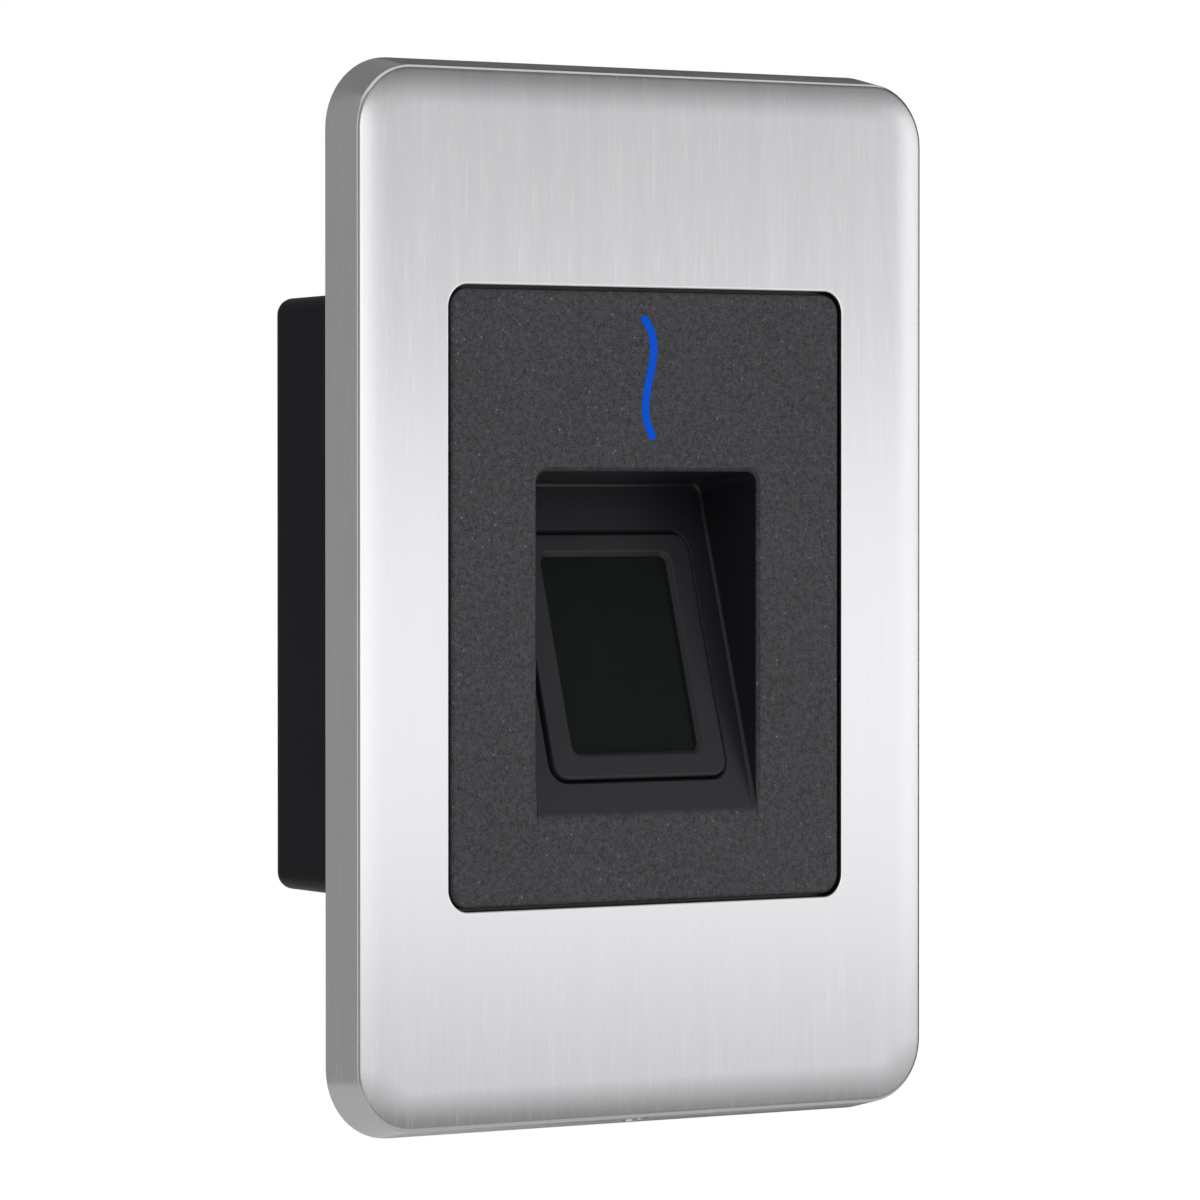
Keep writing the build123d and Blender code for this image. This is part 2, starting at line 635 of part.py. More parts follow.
def sensor_cell():
    """Black box behind the bezel that holds prism, lamps, lens and camera board."""
    width = BEZEL_WIDTH + CELL_FLANGE_MARGIN[0]
    length = BEZEL_LENGTH + CELL_FLANGE_MARGIN[1]
    thick = CELL_FLANGE_THICK
    cell = layer(width, length, CELL_FRONT - thick, CELL_FRONT, 2.0)
    cell += layer(CELL_WIDTH, CELL_LENGTH, CELL_REAR, CELL_FRONT - 0.1, 1.5)
    inner = (CELL_WIDTH - 2 * CELL_WALL, CELL_LENGTH - 2 * CELL_WALL)
    cell -= layer(inner[0], inner[1], CELL_REAR - 1, CELL_FRONT + 1, 0.6)
    for x, u in corners(CELL_BOSS_X, CELL_BOSS_U):
        cell -= extrude(Pos(x, u, CELL_FRONT - thick - 1) * Circle(CELL_SCREW + SCREW_CLEARANCE), thick + 2)
    shelf = layer(inner[0] + 0.2, 1.0, CELL_REAR + 5.0, CELL_REAR + 6.0, 0, 0, -inner[1] / 2 + 0.4)
    ledges = []
    for side in (-1, 1):
        gap = (inner[0] - PRISM_WIDTH) / 2
        x = side * (PRISM_WIDTH / 2 + gap / 2 + 0.1)
        ledges.append(layer(gap + 0.1, 10.0, CELL_REAR + 7.0, CELL_REAR + 9.0, 0, x, -4.0))
    return SENSOR * (cell + shelf + ledges)


def sensor_screws():
    """Four screws through the cell's flange into the panel's bosses."""
    seat = CELL_FRONT - CELL_FLANGE_THICK
    screws = []
    for x, u in corners(CELL_BOSS_X, CELL_BOSS_U):
        screw = machine_screw(1.8, 1.2, CELL_SCREW - 0.02, 3.5)
        screws.append(SENSOR * Pos(x, u, seat) * Rot(180, 0, 0) * screw)
    return Compound(children=screws)


def camera_board():
    """Camera board that closes the back of the cell."""
    return SENSOR * layer(CELL_WIDTH, CELL_LENGTH, CELL_REAR - BOARD_THICK, CELL_REAR, 1.0)


def image_sensor():
    """Camera chip on the front of its board, under the lens."""
    chip = layer(5.0, 5.0, CELL_REAR, CELL_REAR + 0.6, 0.1, 0, LENS_PLACE)
    return SENSOR * chip


def lens_barrel():
    """Threaded lens barrel with a waist, standing on its board over the chip."""
    top = CELL_REAR + LENS_LENGTH
    barrel = extrude(Pos(0, LENS_PLACE, CELL_REAR) * Rectangle(9.0, 9.0), 2.0)
    barrel += extrude(Pos(0, LENS_PLACE, CELL_REAR + 1.9) * Circle(LENS_RADIUS), LENS_LENGTH - 1.9)
    barrel -= extrude(Pos(0, LENS_PLACE, CELL_REAR - 1) * Rectangle(6.0, 6.0), 2.2)
    barrel -= extrude(Pos(0, LENS_PLACE, top - 1.4) * Circle(LENS_RADIUS - 0.7), 3)
    barrel -= extrude(Pos(0, LENS_PLACE, CELL_REAR) * Circle(LENS_RADIUS - 1.3), LENS_LENGTH)
    return SENSOR * barrel


def lens_glass():
    """Small lens in the barrel's mouth."""
    top = CELL_REAR + LENS_LENGTH
    disc = extrude(Pos(0, LENS_PLACE, top - 1.4) * Circle(LENS_RADIUS - 0.7 - 0.02), 0.9)
    return SENSOR * fillet(disc.edges().group_by(Axis.Z)[-1], 0.3)


def lamp_place():
    """How far down the window's slope the lamp strip stands."""
    return -(CELL_LENGTH / 2 - CELL_WALL - 0.9)


def lamp_board():
    """Strip board standing along the prism's lower end."""
    low = CELL_REAR + 6.0
    strip = layer(16.0, 0.8, low, low + 5.0, 0, 0, lamp_place())
    return SENSOR * strip


def lamp_leds():
    """Four lamps that light the prism's end."""
    low = CELL_REAR + 6.0
    lamps = []
    for step in range(4):
        x = (step - 1.5) * 4.0
        lamps.append(SENSOR * layer(1.8, 0.7, low + 1.6, low + 3.2, 0, x, lamp_place() + 0.75))
    return Compound(children=lamps)


# --- rear housing -------------------------------------------------------------------------
def drafted_box(width, height, front, back, corner):
    """A box that narrows towards its back by the moulding draft."""
    outline = Plane.XZ.offset(-front) * RectangleRounded(width, height, corner)
    return extrude(outline, front - back, taper=HOUSING_DRAFT)


def socket_size(socket):
    """Outer width and height of a wiring socket."""
    _, pins, pitch = socket
    return ((pins - 1) * pitch + 4.0 + 2 * SOCKET_WALL, SOCKET_MOUTH + 2 * SOCKET_WALL)


def rear_housing():
    """Back box with screw columns, board bosses and openings for the wiring."""
    shell = drafted_box(HOUSING_WIDTH, HOUSING_HEIGHT, HOUSING_FRONT, HOUSING_BACK, HOUSING_CORNER)
    shell = fillet(shell.edges().group_by(Axis.Y)[-1], HOUSING_EDGE)
    inner = drafted_box(
        HOUSING_WIDTH - 2 * HOUSING_WALL,
        HOUSING_HEIGHT - 2 * HOUSING_WALL,
        HOUSING_FRONT - 0.01,
        HOUSING_FLOOR,
        HOUSING_CORNER - HOUSING_WALL + 0.4,
    )
    shell -= inner
    for x, z in corners(COLUMN_X, COLUMN_Z):
        shell += rod(COLUMN_RADIUS, COLUMN_FRONT, HOUSING_FLOOR + 0.5, x, z)
    for x, z in corners(STUD_X, STUD_Z):
        shell += rod(STUD_RADIUS, MAIN_BACK, HOUSING_FLOOR + 0.5, x, z)
    for x, z in corners(COLUMN_X, COLUMN_Z):
        shell -= rod(HEAD_RADIUS + COLUMN_BORE_FIT, COLUMN_FRONT + COLUMN_FLOOR, HOUSING_BACK + 1, x, z)
        shell -= rod(SHANK_RADIUS + COLUMN_BORE_FIT, COLUMN_FRONT - 1, COLUMN_FRONT + COLUMN_FLOOR + 1, x, z)
    for x, z in corners(STUD_X, STUD_Z):
        shell -= rod(CELL_SCREW, MAIN_BACK - 1, MAIN_BACK + STUD_BORE, x, z)
    for socket in (SIGNAL_SOCKET, POWER_SOCKET):
        width, height = socket_size(socket)
        clear = 2 * OPENING_CLEARANCE
        shell -= slab(width + clear, height + clear, HOUSING_FLOOR - 1, HOUSING_BACK + 1, 0.6, 0, socket[0])
    window = slab(DIP_SIZE[0] + 2, DIP_SIZE[1] + 2, HOUSING_FLOOR - 1, HOUSING_BACK + 1, 1.0, *DIP_PLACE)
    shell -= window
    shell -= rod(RESET_RADIUS + 0.6, HOUSING_FLOOR - 1, HOUSING_BACK + 1, *RESET_PLACE)
    hole_y = tamper_y()
    shell -= post(TAMPER_RADIUS + 0.4, HOUSING_HEIGHT / 2 - 4, HOUSING_HEIGHT / 2 + 1, 0, hole_y)
    return shell


def housing_seal():
    """Flat gasket on the housing's front edge."""
    outer = slab(HOUSING_WIDTH - 0.3, HOUSING_HEIGHT - 0.3, PANEL_BACK, HOUSING_FRONT, HOUSING_CORNER)
    inner = slab(
        HOUSING_WIDTH - 2 * HOUSING_WALL + 0.3,
        HOUSING_HEIGHT - 2 * HOUSING_WALL + 0.3,
        PANEL_BACK - 1,
        HOUSING_FRONT + 1,
        HOUSING_CORNER - HOUSING_WALL + 0.4,
    )
    return outer - inner


def housing_screws():
    """Four long-reach screws down the housing's columns into the panel's bosses."""
    screws = []
    for x, z in corners(COLUMN_X, COLUMN_Z):
        place = Plane(origin=(x, COLUMN_FRONT + COLUMN_FLOOR, z), z_dir=(0, 1, 0), x_dir=(1, 0, 0))
        length = SCREW_GRIP + COLUMN_FLOOR
        screws.append(place * machine_screw(HEAD_RADIUS, HEAD_HEIGHT, SHANK_RADIUS - 0.02, length))
    return Compound(children=screws)


# --- main board ----------------------------------------------------------------------------
def main_board():
    """Main board behind the sensor, notched round the housing's columns."""
    board = slab(MAIN_WIDTH, MAIN_HEIGHT, MAIN_FRONT, MAIN_BACK, 1.0)
    for x, z in corners(COLUMN_X, COLUMN_Z):
        board -= rod(COLUMN_RADIUS + COLUMN_CLEARANCE, MAIN_FRONT - 1, MAIN_BACK + 1, x, z)
        edge_x = math.copysign(COLUMN_X + 4, x)
        edge_z = math.copysign(COLUMN_Z + 4, z)
        reach = 2 * (COLUMN_RADIUS + COLUMN_CLEARANCE)
        board -= slab(8, reach, MAIN_FRONT - 1, MAIN_BACK + 1, 0, edge_x, z)
        board -= slab(reach, 8, MAIN_FRONT - 1, MAIN_BACK + 1, 0, x, edge_z)
    for x, z in corners(STUD_X, STUD_Z):
        board -= rod(CELL_SCREW + SCREW_CLEARANCE, MAIN_FRONT - 1, MAIN_BACK + 1, x, z)
    return board


def board_screws():
    """Four screws through the main board into the housing's bosses."""
    screws = []
    for x, z in corners(STUD_X, STUD_Z):
        place = Plane(origin=(x, MAIN_FRONT, z), z_dir=(0, -1, 0), x_dir=(1, 0, 0))
        screws.append(place * machine_screw(1.8, 1.1, CELL_SCREW - 0.02, 5.0))
    return Compound(children=screws)


def chip(size, x, z):
    """A flat chip on the main board's front face."""
    width, height, thick = size
    body = slab(width, height, MAIN_FRONT - thick, MAIN_FRONT, 0, x, z)
    return chamfer(body.edges().group_by(Axis.Y)[0], 0.1)


def processor():
    """The main board's processor."""
    return chip(PROCESSOR_SIZE, 0, PROCESSOR_Z)


def memory_chips():
    """Two memory chips beside the processor."""
    x, z = MEMORY_PLACE
    return Compound(children=[chip(MEMORY_SIZE, -x, z), chip(MEMORY_SIZE, x, z)])


def line_driver():
    """Serial line driver near the wiring sockets."""
    return chip(DRIVER_SIZE, *DRIVER_PLACE)


def capacitors():
    """Two upright electrolytic capacitors near the board's foot."""
    cans = []
    for x in CAPACITOR_X:
        can = rod(CAPACITOR_RADIUS, MAIN_FRONT - CAPACITOR_HEIGHT, MAIN_FRONT, x, CAPACITOR_Z)
        cans.append(fillet(can.edges().group_by(Axis.Y)[0], 0.5))
    return Compound(children=cans)


def power_coil():
    """Shielded power inductor."""
    width, height, thick = COIL_SIZE
    coil = slab(width, height, MAIN_FRONT - thick, MAIN_FRONT, 0.8, *COIL_PLACE)
    return fillet(coil.edges().group_by(Axis.Y)[0], 0.3)


def buzzer():
    """Round buzzer with a sound hole, above the sensor."""
    can = rod(BUZZER_RADIUS, MAIN_FRONT - BUZZER_HEIGHT, MAIN_FRONT, *BUZZER_PLACE)
    can = fillet(can.edges().group_by(Axis.Y)[0], 0.4)
    hole_floor = MAIN_FRONT - BUZZER_HEIGHT + BUZZER_HOLE
    return can - rod(BUZZER_HOLE, MAIN_FRONT - BUZZER_HEIGHT - 1, hole_floor, *BUZZER_PLACE)


def wiring_socket(socket):
    """Open box socket that faces the wall box, with pin holes in its floor."""
    z, pins, pitch = socket
    width, height = socket_size(socket)
    box = slab(width, height, MAIN_BACK, HOUSING_BACK - 0.4, 0, 0, z)
    box = chamfer(box.edges().group_by(Axis.Y)[-1], 0.2)
    box -= slab(
        width - 2 * SOCKET_WALL, SOCKET_MOUTH, MAIN_BACK + SOCKET_FLOOR, HOUSING_BACK + 1, 0, 0, z
    )
    for step in range(pins):
        x = (step - (pins - 1) / 2) * pitch
        box -= slab(PIN_SIZE, PIN_SIZE, MAIN_BACK - 1, MAIN_BACK + SOCKET_FLOOR + 1, 0, x, z)
    return box


def socket_pins(socket):
    """The row of square pins in a wiring socket."""
    z, pins, pitch = socket
    row = []
    for step in range(pins):
        x = (step - (pins - 1) / 2) * pitch
        tip = MAIN_BACK + SOCKET_FLOOR + PIN_LENGTH
        pin = slab(PIN_SIZE, PIN_SIZE, MAIN_BACK, tip, 0, x, z)
        row.append(chamfer(pin.edges().group_by(Axis.Y)[-1], 0.15))
    return Compound(children=row)


def dip_slider_height(index):
    """Height of one address slider."""
    return DIP_PLACE[1] + ((DIP_COUNT - 1) / 2 - index) * DIP_PITCH


def dip_body():
    """Body of the address switch with a slot for each slider."""
    width, height, deep = DIP_SIZE
    body = slab(width, height, MAIN_BACK, MAIN_BACK + deep, 0, *DIP_PLACE)
    body = chamfer(body.edges().group_by(Axis.Y)[-1], 0.2)
    for index in range(DIP_COUNT):
        body -= slab(
            DIP_SLOT[0], DIP_SLOT[1], MAIN_BACK + deep - DIP_SLOT[2], MAIN_BACK + deep + 1, 0,
            DIP_PLACE[0], dip_slider_height(index),
        )
    return body


def dip_slider(index):
    """One slider, resting at the left end of its slot."""
    deep = MAIN_BACK + DIP_SIZE[2]
    left = DIP_PLACE[0] - DIP_SLOT[0] / 2
    margin = (DIP_SLOT[0] - DIP_TRAVEL - DIP_KNOB[0]) / 2
    x = left + margin + DIP_KNOB[0] / 2
    knob = slab(
        DIP_KNOB[0], DIP_KNOB[1], deep - DIP_SLOT[2] + 0.1, deep + DIP_KNOB[2], 0, x,
        dip_slider_height(index),
    )
    return fillet(knob.edges().group_by(Axis.Y)[-1], 0.15)


def reset_body():
    """Body of the reset switch with a hollow round its plunger."""
    top = MAIN_BACK + RESET_DEPTH
    body = slab(RESET_BODY, RESET_BODY, MAIN_BACK, top, 0.4, *RESET_PLACE)
    return body - rod(RESET_RADIUS + RUNNING_FIT, MAIN_BACK + PLUNGER_FLOOR, top + 1, *RESET_PLACE)


def reset_button():
    """Plunger of the reset switch."""
    low = MAIN_BACK + PLUNGER_FLOOR + RESET_TRAVEL + 0.2
    button = rod(RESET_RADIUS, low, HOUSING_BACK - RESET_RECESS, *RESET_PLACE)
    return fillet(button.edges().group_by(Axis.Y)[-1], 0.3)


# --- tamper switch --------------------------------------------------------------------------
def tamper_y():
    """Y of the tamper plunger's axis, on the back of the status board."""
    return led_board_front() + LED_BOARD[2] + TAMPER_BODY[1] / 2


def tamper_body():
    """Switch body on the back of the status board, bored for its plunger."""
    width, deep, height = TAMPER_BODY
    body = block(width, deep, height, 0, tamper_y(), TAMPER_FOOT + height / 2)
    body = chamfer(body.edges().group_by(Axis.Z)[-1], 0.3)
    bore = TAMPER_RADIUS + RUNNING_FIT
    return body - post(bore, TAMPER_FOOT + PLUNGER_FLOOR, TAMPER_FOOT + 9, 0, tamper_y())


def tamper_plunger():
    """Plunger that reaches up through the housing to the bracket's tongue."""
    low = TAMPER_FOOT + PLUNGER_FLOOR + TAMPER_TRAVEL_ROOM
    pin = post(TAMPER_RADIUS, low, HOLE_TOP - TAMPER_GAP, 0, tamper_y())
    return fillet(pin.edges().group_by(Axis.Z)[-1], 0.4)


# --- wall bracket --------------------------------------------------------------------------
def wall_bracket():
    """Stamped bracket: housing window, wall screw slots, top hooks, lock tab and tongue."""
    middle = (BRACKET_TOP + BRACKET_FOOT) / 2
    sheet = slab(BRACKET_WIDTH, BRACKET_TOP - BRACKET_FOOT, -BRACKET_SHEET, 0, BRACKET_CORNER, 0, middle)
    sheet -= slab(
        HOUSING_WIDTH + 2 * BRACKET_GAP, 2 * HOLE_TOP, -BRACKET_SHEET - 1, 1, HOUSING_CORNER
    )
    for z in (-GANG_SPACING / 2, GANG_SPACING / 2):
        slot = Pos(0, z) * Rot(0, 0, 90) * SlotOverall(GANG_SLOT[0], 2 * GANG_SLOT[1])
        sheet -= extrude(Plane.XZ.offset(-1) * slot, BRACKET_SHEET + 2)
    for x in (-ROUND_BOX_SPACING / 2, ROUND_BOX_SPACING / 2):
        sheet -= rod(ROUND_BOX_HOLE, -BRACKET_SHEET - 1, 1, x, 0)
    hook_front = SHEET_BACK + HOOK_CLEARANCE
    hook_top = hook_height()
    for side in (-1, 1):
        x = side * HOOK_X
        arm = block(HOOK_WIDTH - 2, -hook_front, BRACKET_SHEET, x, hook_front / 2,
                    BRACKET_TOP - BRACKET_SHEET / 2)
        rise = hook_top - BRACKET_TOP + BRACKET_SHEET
        lip = block(HOOK_WIDTH - 2, BRACKET_SHEET, rise, x, hook_front + BRACKET_SHEET / 2,
                    hook_top - rise / 2)
        sheet += arm + lip
    tab_height = BRACKET_FOOT - LOCK_TAB_FOOT + 2
    sheet += slab(LOCK_TAB_WIDTH, tab_height, -BRACKET_SHEET, 0, 0, 0, LOCK_TAB_FOOT + tab_height / 2)
    sheet += block(
        LOCK_TAB_WIDTH, -hook_front, 1.6, 0, hook_front / 2, LOCK_TAB_FOOT + 0.8
    )
    sheet -= post(LOCK_RADIUS + LOCK_FIT, LOCK_TAB_FOOT - 1, LOCK_TAB_FOOT + 3, 0, LOCK_Y)
    sheet += block(
        TONGUE_WIDTH, TONGUE_REACH + BRACKET_SHEET, BRACKET_SHEET, 0,
        (TONGUE_REACH - BRACKET_SHEET) / 2, HOLE_TOP + BRACKET_SHEET / 2,
    )
    return sheet


def lock_screw():
    """Headless screw in the bracket's lock tab; backed out, it enters the tray's lower wall."""
    low = -PLATE_HEIGHT / 2 + PLATE_SHEET + 0.9
    screw = post(LOCK_RADIUS, low, low + LOCK_LENGTH, 0, LOCK_Y)
    screw = chamfer(screw.edges().group_by(Axis.Z)[0], 0.25)
    key = extrude(Plane.XY.offset(low - 0.01) * Pos(0, LOCK_Y) * RegularPolygon(0.75, 6), 1.3)
    return screw - key


# --- every piece, one file each ---------------------------------------------------------------
def pieces():
    """Every sub-part by name."""
    named = {
        "wall_bracket": wall_bracket(),
        "lock_screw": lock_screw(),
        "face_plate": face_plate(),
        "plate_hangers": hangers(),
        "front_panel": front_panel(),
        "panel_tape": panel_tape(),
        "light_guide": light_guide(),
        "status_board": status_board(),
        "status_leds": status_leds(),
        "status_screws": status_screws(),
        "sensor_bezel": sensor_bezel(),
        "sensor_window": sensor_window(),
        "sensor_seal": sensor_seal(),
        "sensor_prism": sensor_prism(),
        "sensor_cell": sensor_cell(),
        "sensor_screws": sensor_screws(),
        "camera_board": camera_board(),
        "image_sensor": image_sensor(),
        "lens_barrel": lens_barrel(),
        "lens_glass": lens_glass(),
        "lamp_board": lamp_board(),
        "lamp_leds": lamp_leds(),
        "housing_seal": housing_seal(),
        "rear_housing": rear_housing(),
        "housing_screws": housing_screws(),
        "main_board": main_board(),
        "board_screws": board_screws(),
        "processor": processor(),
        "memory_chips": memory_chips(),
        "line_driver": line_driver(),
        "capacitors": capacitors(),
        "power_coil": power_coil(),
        "buzzer": buzzer(),
        "signal_socket": wiring_socket(SIGNAL_SOCKET),
        "signal_pins": socket_pins(SIGNAL_SOCKET),
        "power_socket": wiring_socket(POWER_SOCKET),
        "power_pins": socket_pins(POWER_SOCKET),
        "address_switch": dip_body(),
        "reset_switch": reset_body(),
        "reset_button": reset_button(),
        "tamper_switch": tamper_body(),
        "tamper_plunger": tamper_plunger(),
    }
    for index in range(DIP_COUNT):
        named[f"address_slider_{index + 1}"] = dip_slider(index)
    return named


os.makedirs("parts", exist_ok=True)
for name, shape in pieces().items():
    export_step(shape, f"parts/{name}.step")
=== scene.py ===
"""Looks of a flush-fitting fingerprint terminal, laid out as a Blender add-on and run as a script.

The packed model is the frame: +X to the right, +Y into the wall, +Z up, in metres.
"""

import math

import bmesh
import bpy
from bpy.props import FloatProperty, FloatVectorProperty, IntProperty, PointerProperty
from mathutils import Matrix, Vector


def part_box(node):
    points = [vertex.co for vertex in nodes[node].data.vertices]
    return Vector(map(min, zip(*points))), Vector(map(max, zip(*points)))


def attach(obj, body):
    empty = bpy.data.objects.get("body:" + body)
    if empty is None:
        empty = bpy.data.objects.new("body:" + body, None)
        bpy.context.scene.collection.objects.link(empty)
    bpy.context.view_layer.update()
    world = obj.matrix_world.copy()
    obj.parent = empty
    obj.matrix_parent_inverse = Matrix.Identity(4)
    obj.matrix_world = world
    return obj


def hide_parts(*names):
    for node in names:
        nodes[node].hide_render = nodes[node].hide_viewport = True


bl_info = {
    "name": "Fingerprint Terminal Looks",
    "version": (1, 0, 0),
    "blender": (4, 5, 0),
    "location": "3D View > Sidebar > Terminal",
    "description": "Builds the pieces, finishes and stage of a wall fingerprint terminal",
    "category": "Object",
}

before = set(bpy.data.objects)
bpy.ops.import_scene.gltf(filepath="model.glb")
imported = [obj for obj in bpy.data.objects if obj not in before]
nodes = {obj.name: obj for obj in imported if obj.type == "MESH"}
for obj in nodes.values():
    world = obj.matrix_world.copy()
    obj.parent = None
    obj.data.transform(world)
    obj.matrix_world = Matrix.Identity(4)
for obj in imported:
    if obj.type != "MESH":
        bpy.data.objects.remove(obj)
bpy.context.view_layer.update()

MM = 0.001
PER_MM = 1000.0  # object coordinates come in metres, patterns are counted in millimetres

# how finely curves are stepped, and what counts as an edge or a point
ARC_STEPS = 14  # steps round each corner of an outline
CREASE_STEPS = 8  # steps round the tray's crease
ROLL_STEPS = 14  # steps over the tray's roll-off
EDGE_STEPS = 6  # steps round the bezel's upper edge and a screw head's dome
TURNED_SIDES = 32  # sides of a turned piece
CRISP = 30.0  # edges that turn by more degrees than this stay crisp
HAIR = 0.0001 * MM  # radius that stands for a point, and how near vertices are one

# small details of the tray
FLAT = 0.2 * MM  # flat kept beside the roll-off and round the window
FLAT_CORNER = 2.0 * MM  # least corner radius where the roll-off meets the flat front
INNER_BEND = ((1.5, 0.0), (0.5, 0.0), (0.12, 0.12), (-0.1, 0.5))  # inward and back, in mm
TAPE_INSET = 0.5 * MM  # how far the bonding tape stays inside the panel's flange
DRILL_LENGTH = 6 * MM  # bar that cuts the lock screw's hole
DRILL_SIDES = 48

# small details of the bezel and the glass
BEVEL_ROUND = ((-0.06, -0.06), (-0.01, -0.015), (0.08, 0.0), (0.3, 0.0))  # out and up, in mm
RIM_FLAT = 0.15 * MM  # flat kept beside the bezel's outer rounding
BEZEL_CRISP = 40.0  # degrees, as above
GLASS_CRISP = 20.0
PANE_INSET = 1.0 * MM  # how far the glass's middle faces stay inside its rim
CHAMFER = 0.1 * MM  # slope broken on the glass's upper edge


# --- sizes and colours that a user would change ----------------------------------------------
def length(name, description, default_mm):
    """A length property with its default given in millimetres."""
    return FloatProperty(
        name=name, description=description, default=default_mm * MM, unit="LENGTH", subtype="DISTANCE"
    )


def colour(name, description, default):
    """A colour property with red, green and blue in linear light."""
    return FloatVectorProperty(
        name=name, description=description, default=default, size=3, min=0.0, max=1.0, subtype="COLOR"
    )


class TraySizes(bpy.types.PropertyGroup):
    """Sizes of the drawn steel tray."""

    corner: length("Corner", "Corner radius of the tray's outline", 8.5)
    sheet: length("Sheet", "Thickness of the steel", 1.2)
    lean: length("Side lean", "How far the side wall leans in on its way forward", 1.1)
    roll_width: length("Roll width", "Width over which the front rolls off", 4.5)
    roll_drop: length("Roll drop", "How far the roll falls back at the crease", 0.35)
    crease: length("Crease", "Radius of the crease between side and front", 0.5)
    edge: length("Edge round", "Radius broken on the tray's cut edges", 0.15)
    window_corner: length("Window corner", "Corner radius of the window round the panel", 2.65)
    window_gap: length("Window gap", "Clearance round the panel in the window", 0.35)
    flange: length("Panel flange", "How far the panel's flange reaches past its face", 4.0)
    lock_hole: length("Lock hole", "Radius of the hole for the lock screw", 1.5)
    brush: FloatProperty(name="Brush", description="Depth of the brushed grain", default=1.0, min=0.0)
    steel: colour("Steel", "Colour of the brushed steel", (0.561, 0.559, 0.574))


class PanelSizes(bpy.types.PropertyGroup):
    """Colours and grain of the moulded front panel."""

    grain: length("Grain", "Size of the moulded grain", 0.21)
    fleck: FloatProperty(
        name="Flecks", description="Brightness of the light flecks", default=0.22, min=0.0
    )
    face: colour("Face", "Colour of the grained face", (0.0415, 0.0405, 0.0470))
    # the recess colour is painted shade, darker than the face; the recess foot colour is painted light
    # where the floor opens onto the face
    recess: colour("Recess", "Colour of the smooth finger recess", (0.0130, 0.0125, 0.0175))
    floor: colour("Recess foot", "Colour of the recess floor near its foot", (0.0160, 0.0166, 0.0208))


class BezelSizes(bpy.types.PropertyGroup):
    """Sizes of the sensor's bezel and window, square to the glass."""

    tilt: FloatProperty(
        name="Tilt", description="Angle between the glass and the panel's face",
        default=math.radians(16.2), unit="ROTATION", subtype="ANGLE",
    )
    width: length("Width", "Bezel width", 25.4)
    length: length("Length", "Bezel length up the slope", 29.9)
    corner: length("Corner", "Corner radius of the bezel", 2.0)
    proud: length("Proud", "Height of the bezel over the recess floor", 0.4)
    edge: length("Edge", "Radius along the bezel's upper edge", 0.3)
    seat: length("Seat depth", "Depth from the recess floor to the top of the bezel's ears", 2.0)
    ear: length("Ear", "Thickness of the bezel's ears", 1.2)
    ear_side: length("Ear side", "How far the ears reach past each side", 0.9)
    ear_end: length("Ear end", "How far the ears reach past each end", 1.8)
    window_width: length("Window width", "Visible width of the glass", 18.4)
    window_length: length("Window length", "Visible length of the glass", 24.0)
    window_corner: length("Window corner", "Corner radius of the window", 1.0)
    window_rise: length("Window rise", "How far the window's middle lies above the bezel's", 0.25)
    bevel: length("Bevel", "Width of the slope from bezel to glass", 0.5)
    sunk: length("Sunk", "Step under the bevel down to the glass", 0.4)
    ledge: length("Ledge", "How far the glass reaches under the lip", 0.8)
    slip: length("Slip", "Clearance round the glass", 0.1)
    glass: length("Glass", "Thickness of the glass", 1.2)


class LightSettings(bpy.types.PropertyGroup):
    """Colour of the wavy status light."""

    blue: colour("Blue", "Colour of the lit line", (0.0025, 0.081, 0.60))
    glow: FloatProperty(name="Glow", description="Strength of the lit line", default=0.8, min=0.0)


class ScrewSizes(bpy.types.PropertyGroup):
    """Details that all the cross-head screws share."""

    recess: FloatProperty(
        name="Recess", description="Half span of the cross per head radius", default=0.58
    )
    blade: FloatProperty(
        name="Blade", description="Half width of the cross per head radius", default=0.13
    )
    dome: FloatProperty(name="Dome", description="Rounded part of the head's height", default=0.45)
    thread: length("Thread", "Pitch of the thread", 0.5)
    seed: IntProperty(name="Seed", description="Seed for how far each screw is turned", default=4)


class StageSettings(bpy.types.PropertyGroup):
    """Camera, floor and light."""

    azimuth: FloatProperty(
        name="Azimuth", description="Where the camera stands round the terminal",
        default=math.radians(-36.5), unit="ROTATION", subtype="ANGLE",
    )
    elevation: FloatProperty(
        name="Elevation", description="How high the camera stands",
        default=math.radians(0.91), unit="ROTATION", subtype="ANGLE",
    )
    distance: length("Distance", "From the camera to its target", 829.2)
    lens: FloatProperty(name="Lens", description="Focal length in millimetres", default=209.9)
    light: FloatProperty(name="Light level", description="Level of the even studio light", default=0.72)
    floor_drop: length("Floor drop", "Height of the terminal's foot over the floor", 180.0)


GROUPS = {
    "terminal_tray": TraySizes,
    "terminal_panel": PanelSizes,
    "terminal_bezel": BezelSizes,
    "terminal_light": LightSettings,
    "terminal_screws": ScrewSizes,
    "terminal_stage": StageSettings,
}


# --- node trees and shaders ---------------------------------------------------------------------
class NodeTree:
    """A shader or geometry node tree that is built in code."""

    prefix = ""  # how the kinds of its nodes begin

    def node(self, kind, settings=None, sockets=None):
        """Any node: its settings first, then the values or links of its sockets."""
        made = self.tree.nodes.new(self.prefix + kind)
        for key, value in (settings or {}).items():
            setattr(made, key, value)
        for key, value in (sockets or {}).items():
            self.feed(self.socket(made, key), value)
        return made

    def socket(self, made, key):
        """A node's input by its number, identifier or name."""
        if isinstance(key, int):
            return made.inputs[key]
        for socket in made.inputs:
            if socket.identifier == key:
                return socket
        return made.inputs[key]

    def feed(self, socket, value):
        """Links a socket to a term or an output, or sets it to a plain value."""
        if isinstance(value, Term):
            value = value.socket
        if isinstance(value, bpy.types.NodeSocket):
            self.tree.links.new(value, socket)
        elif socket.type == "RGBA" and len(value) == 3:
            socket.default_value = (*value, 1.0)
        else:
            socket.default_value = value


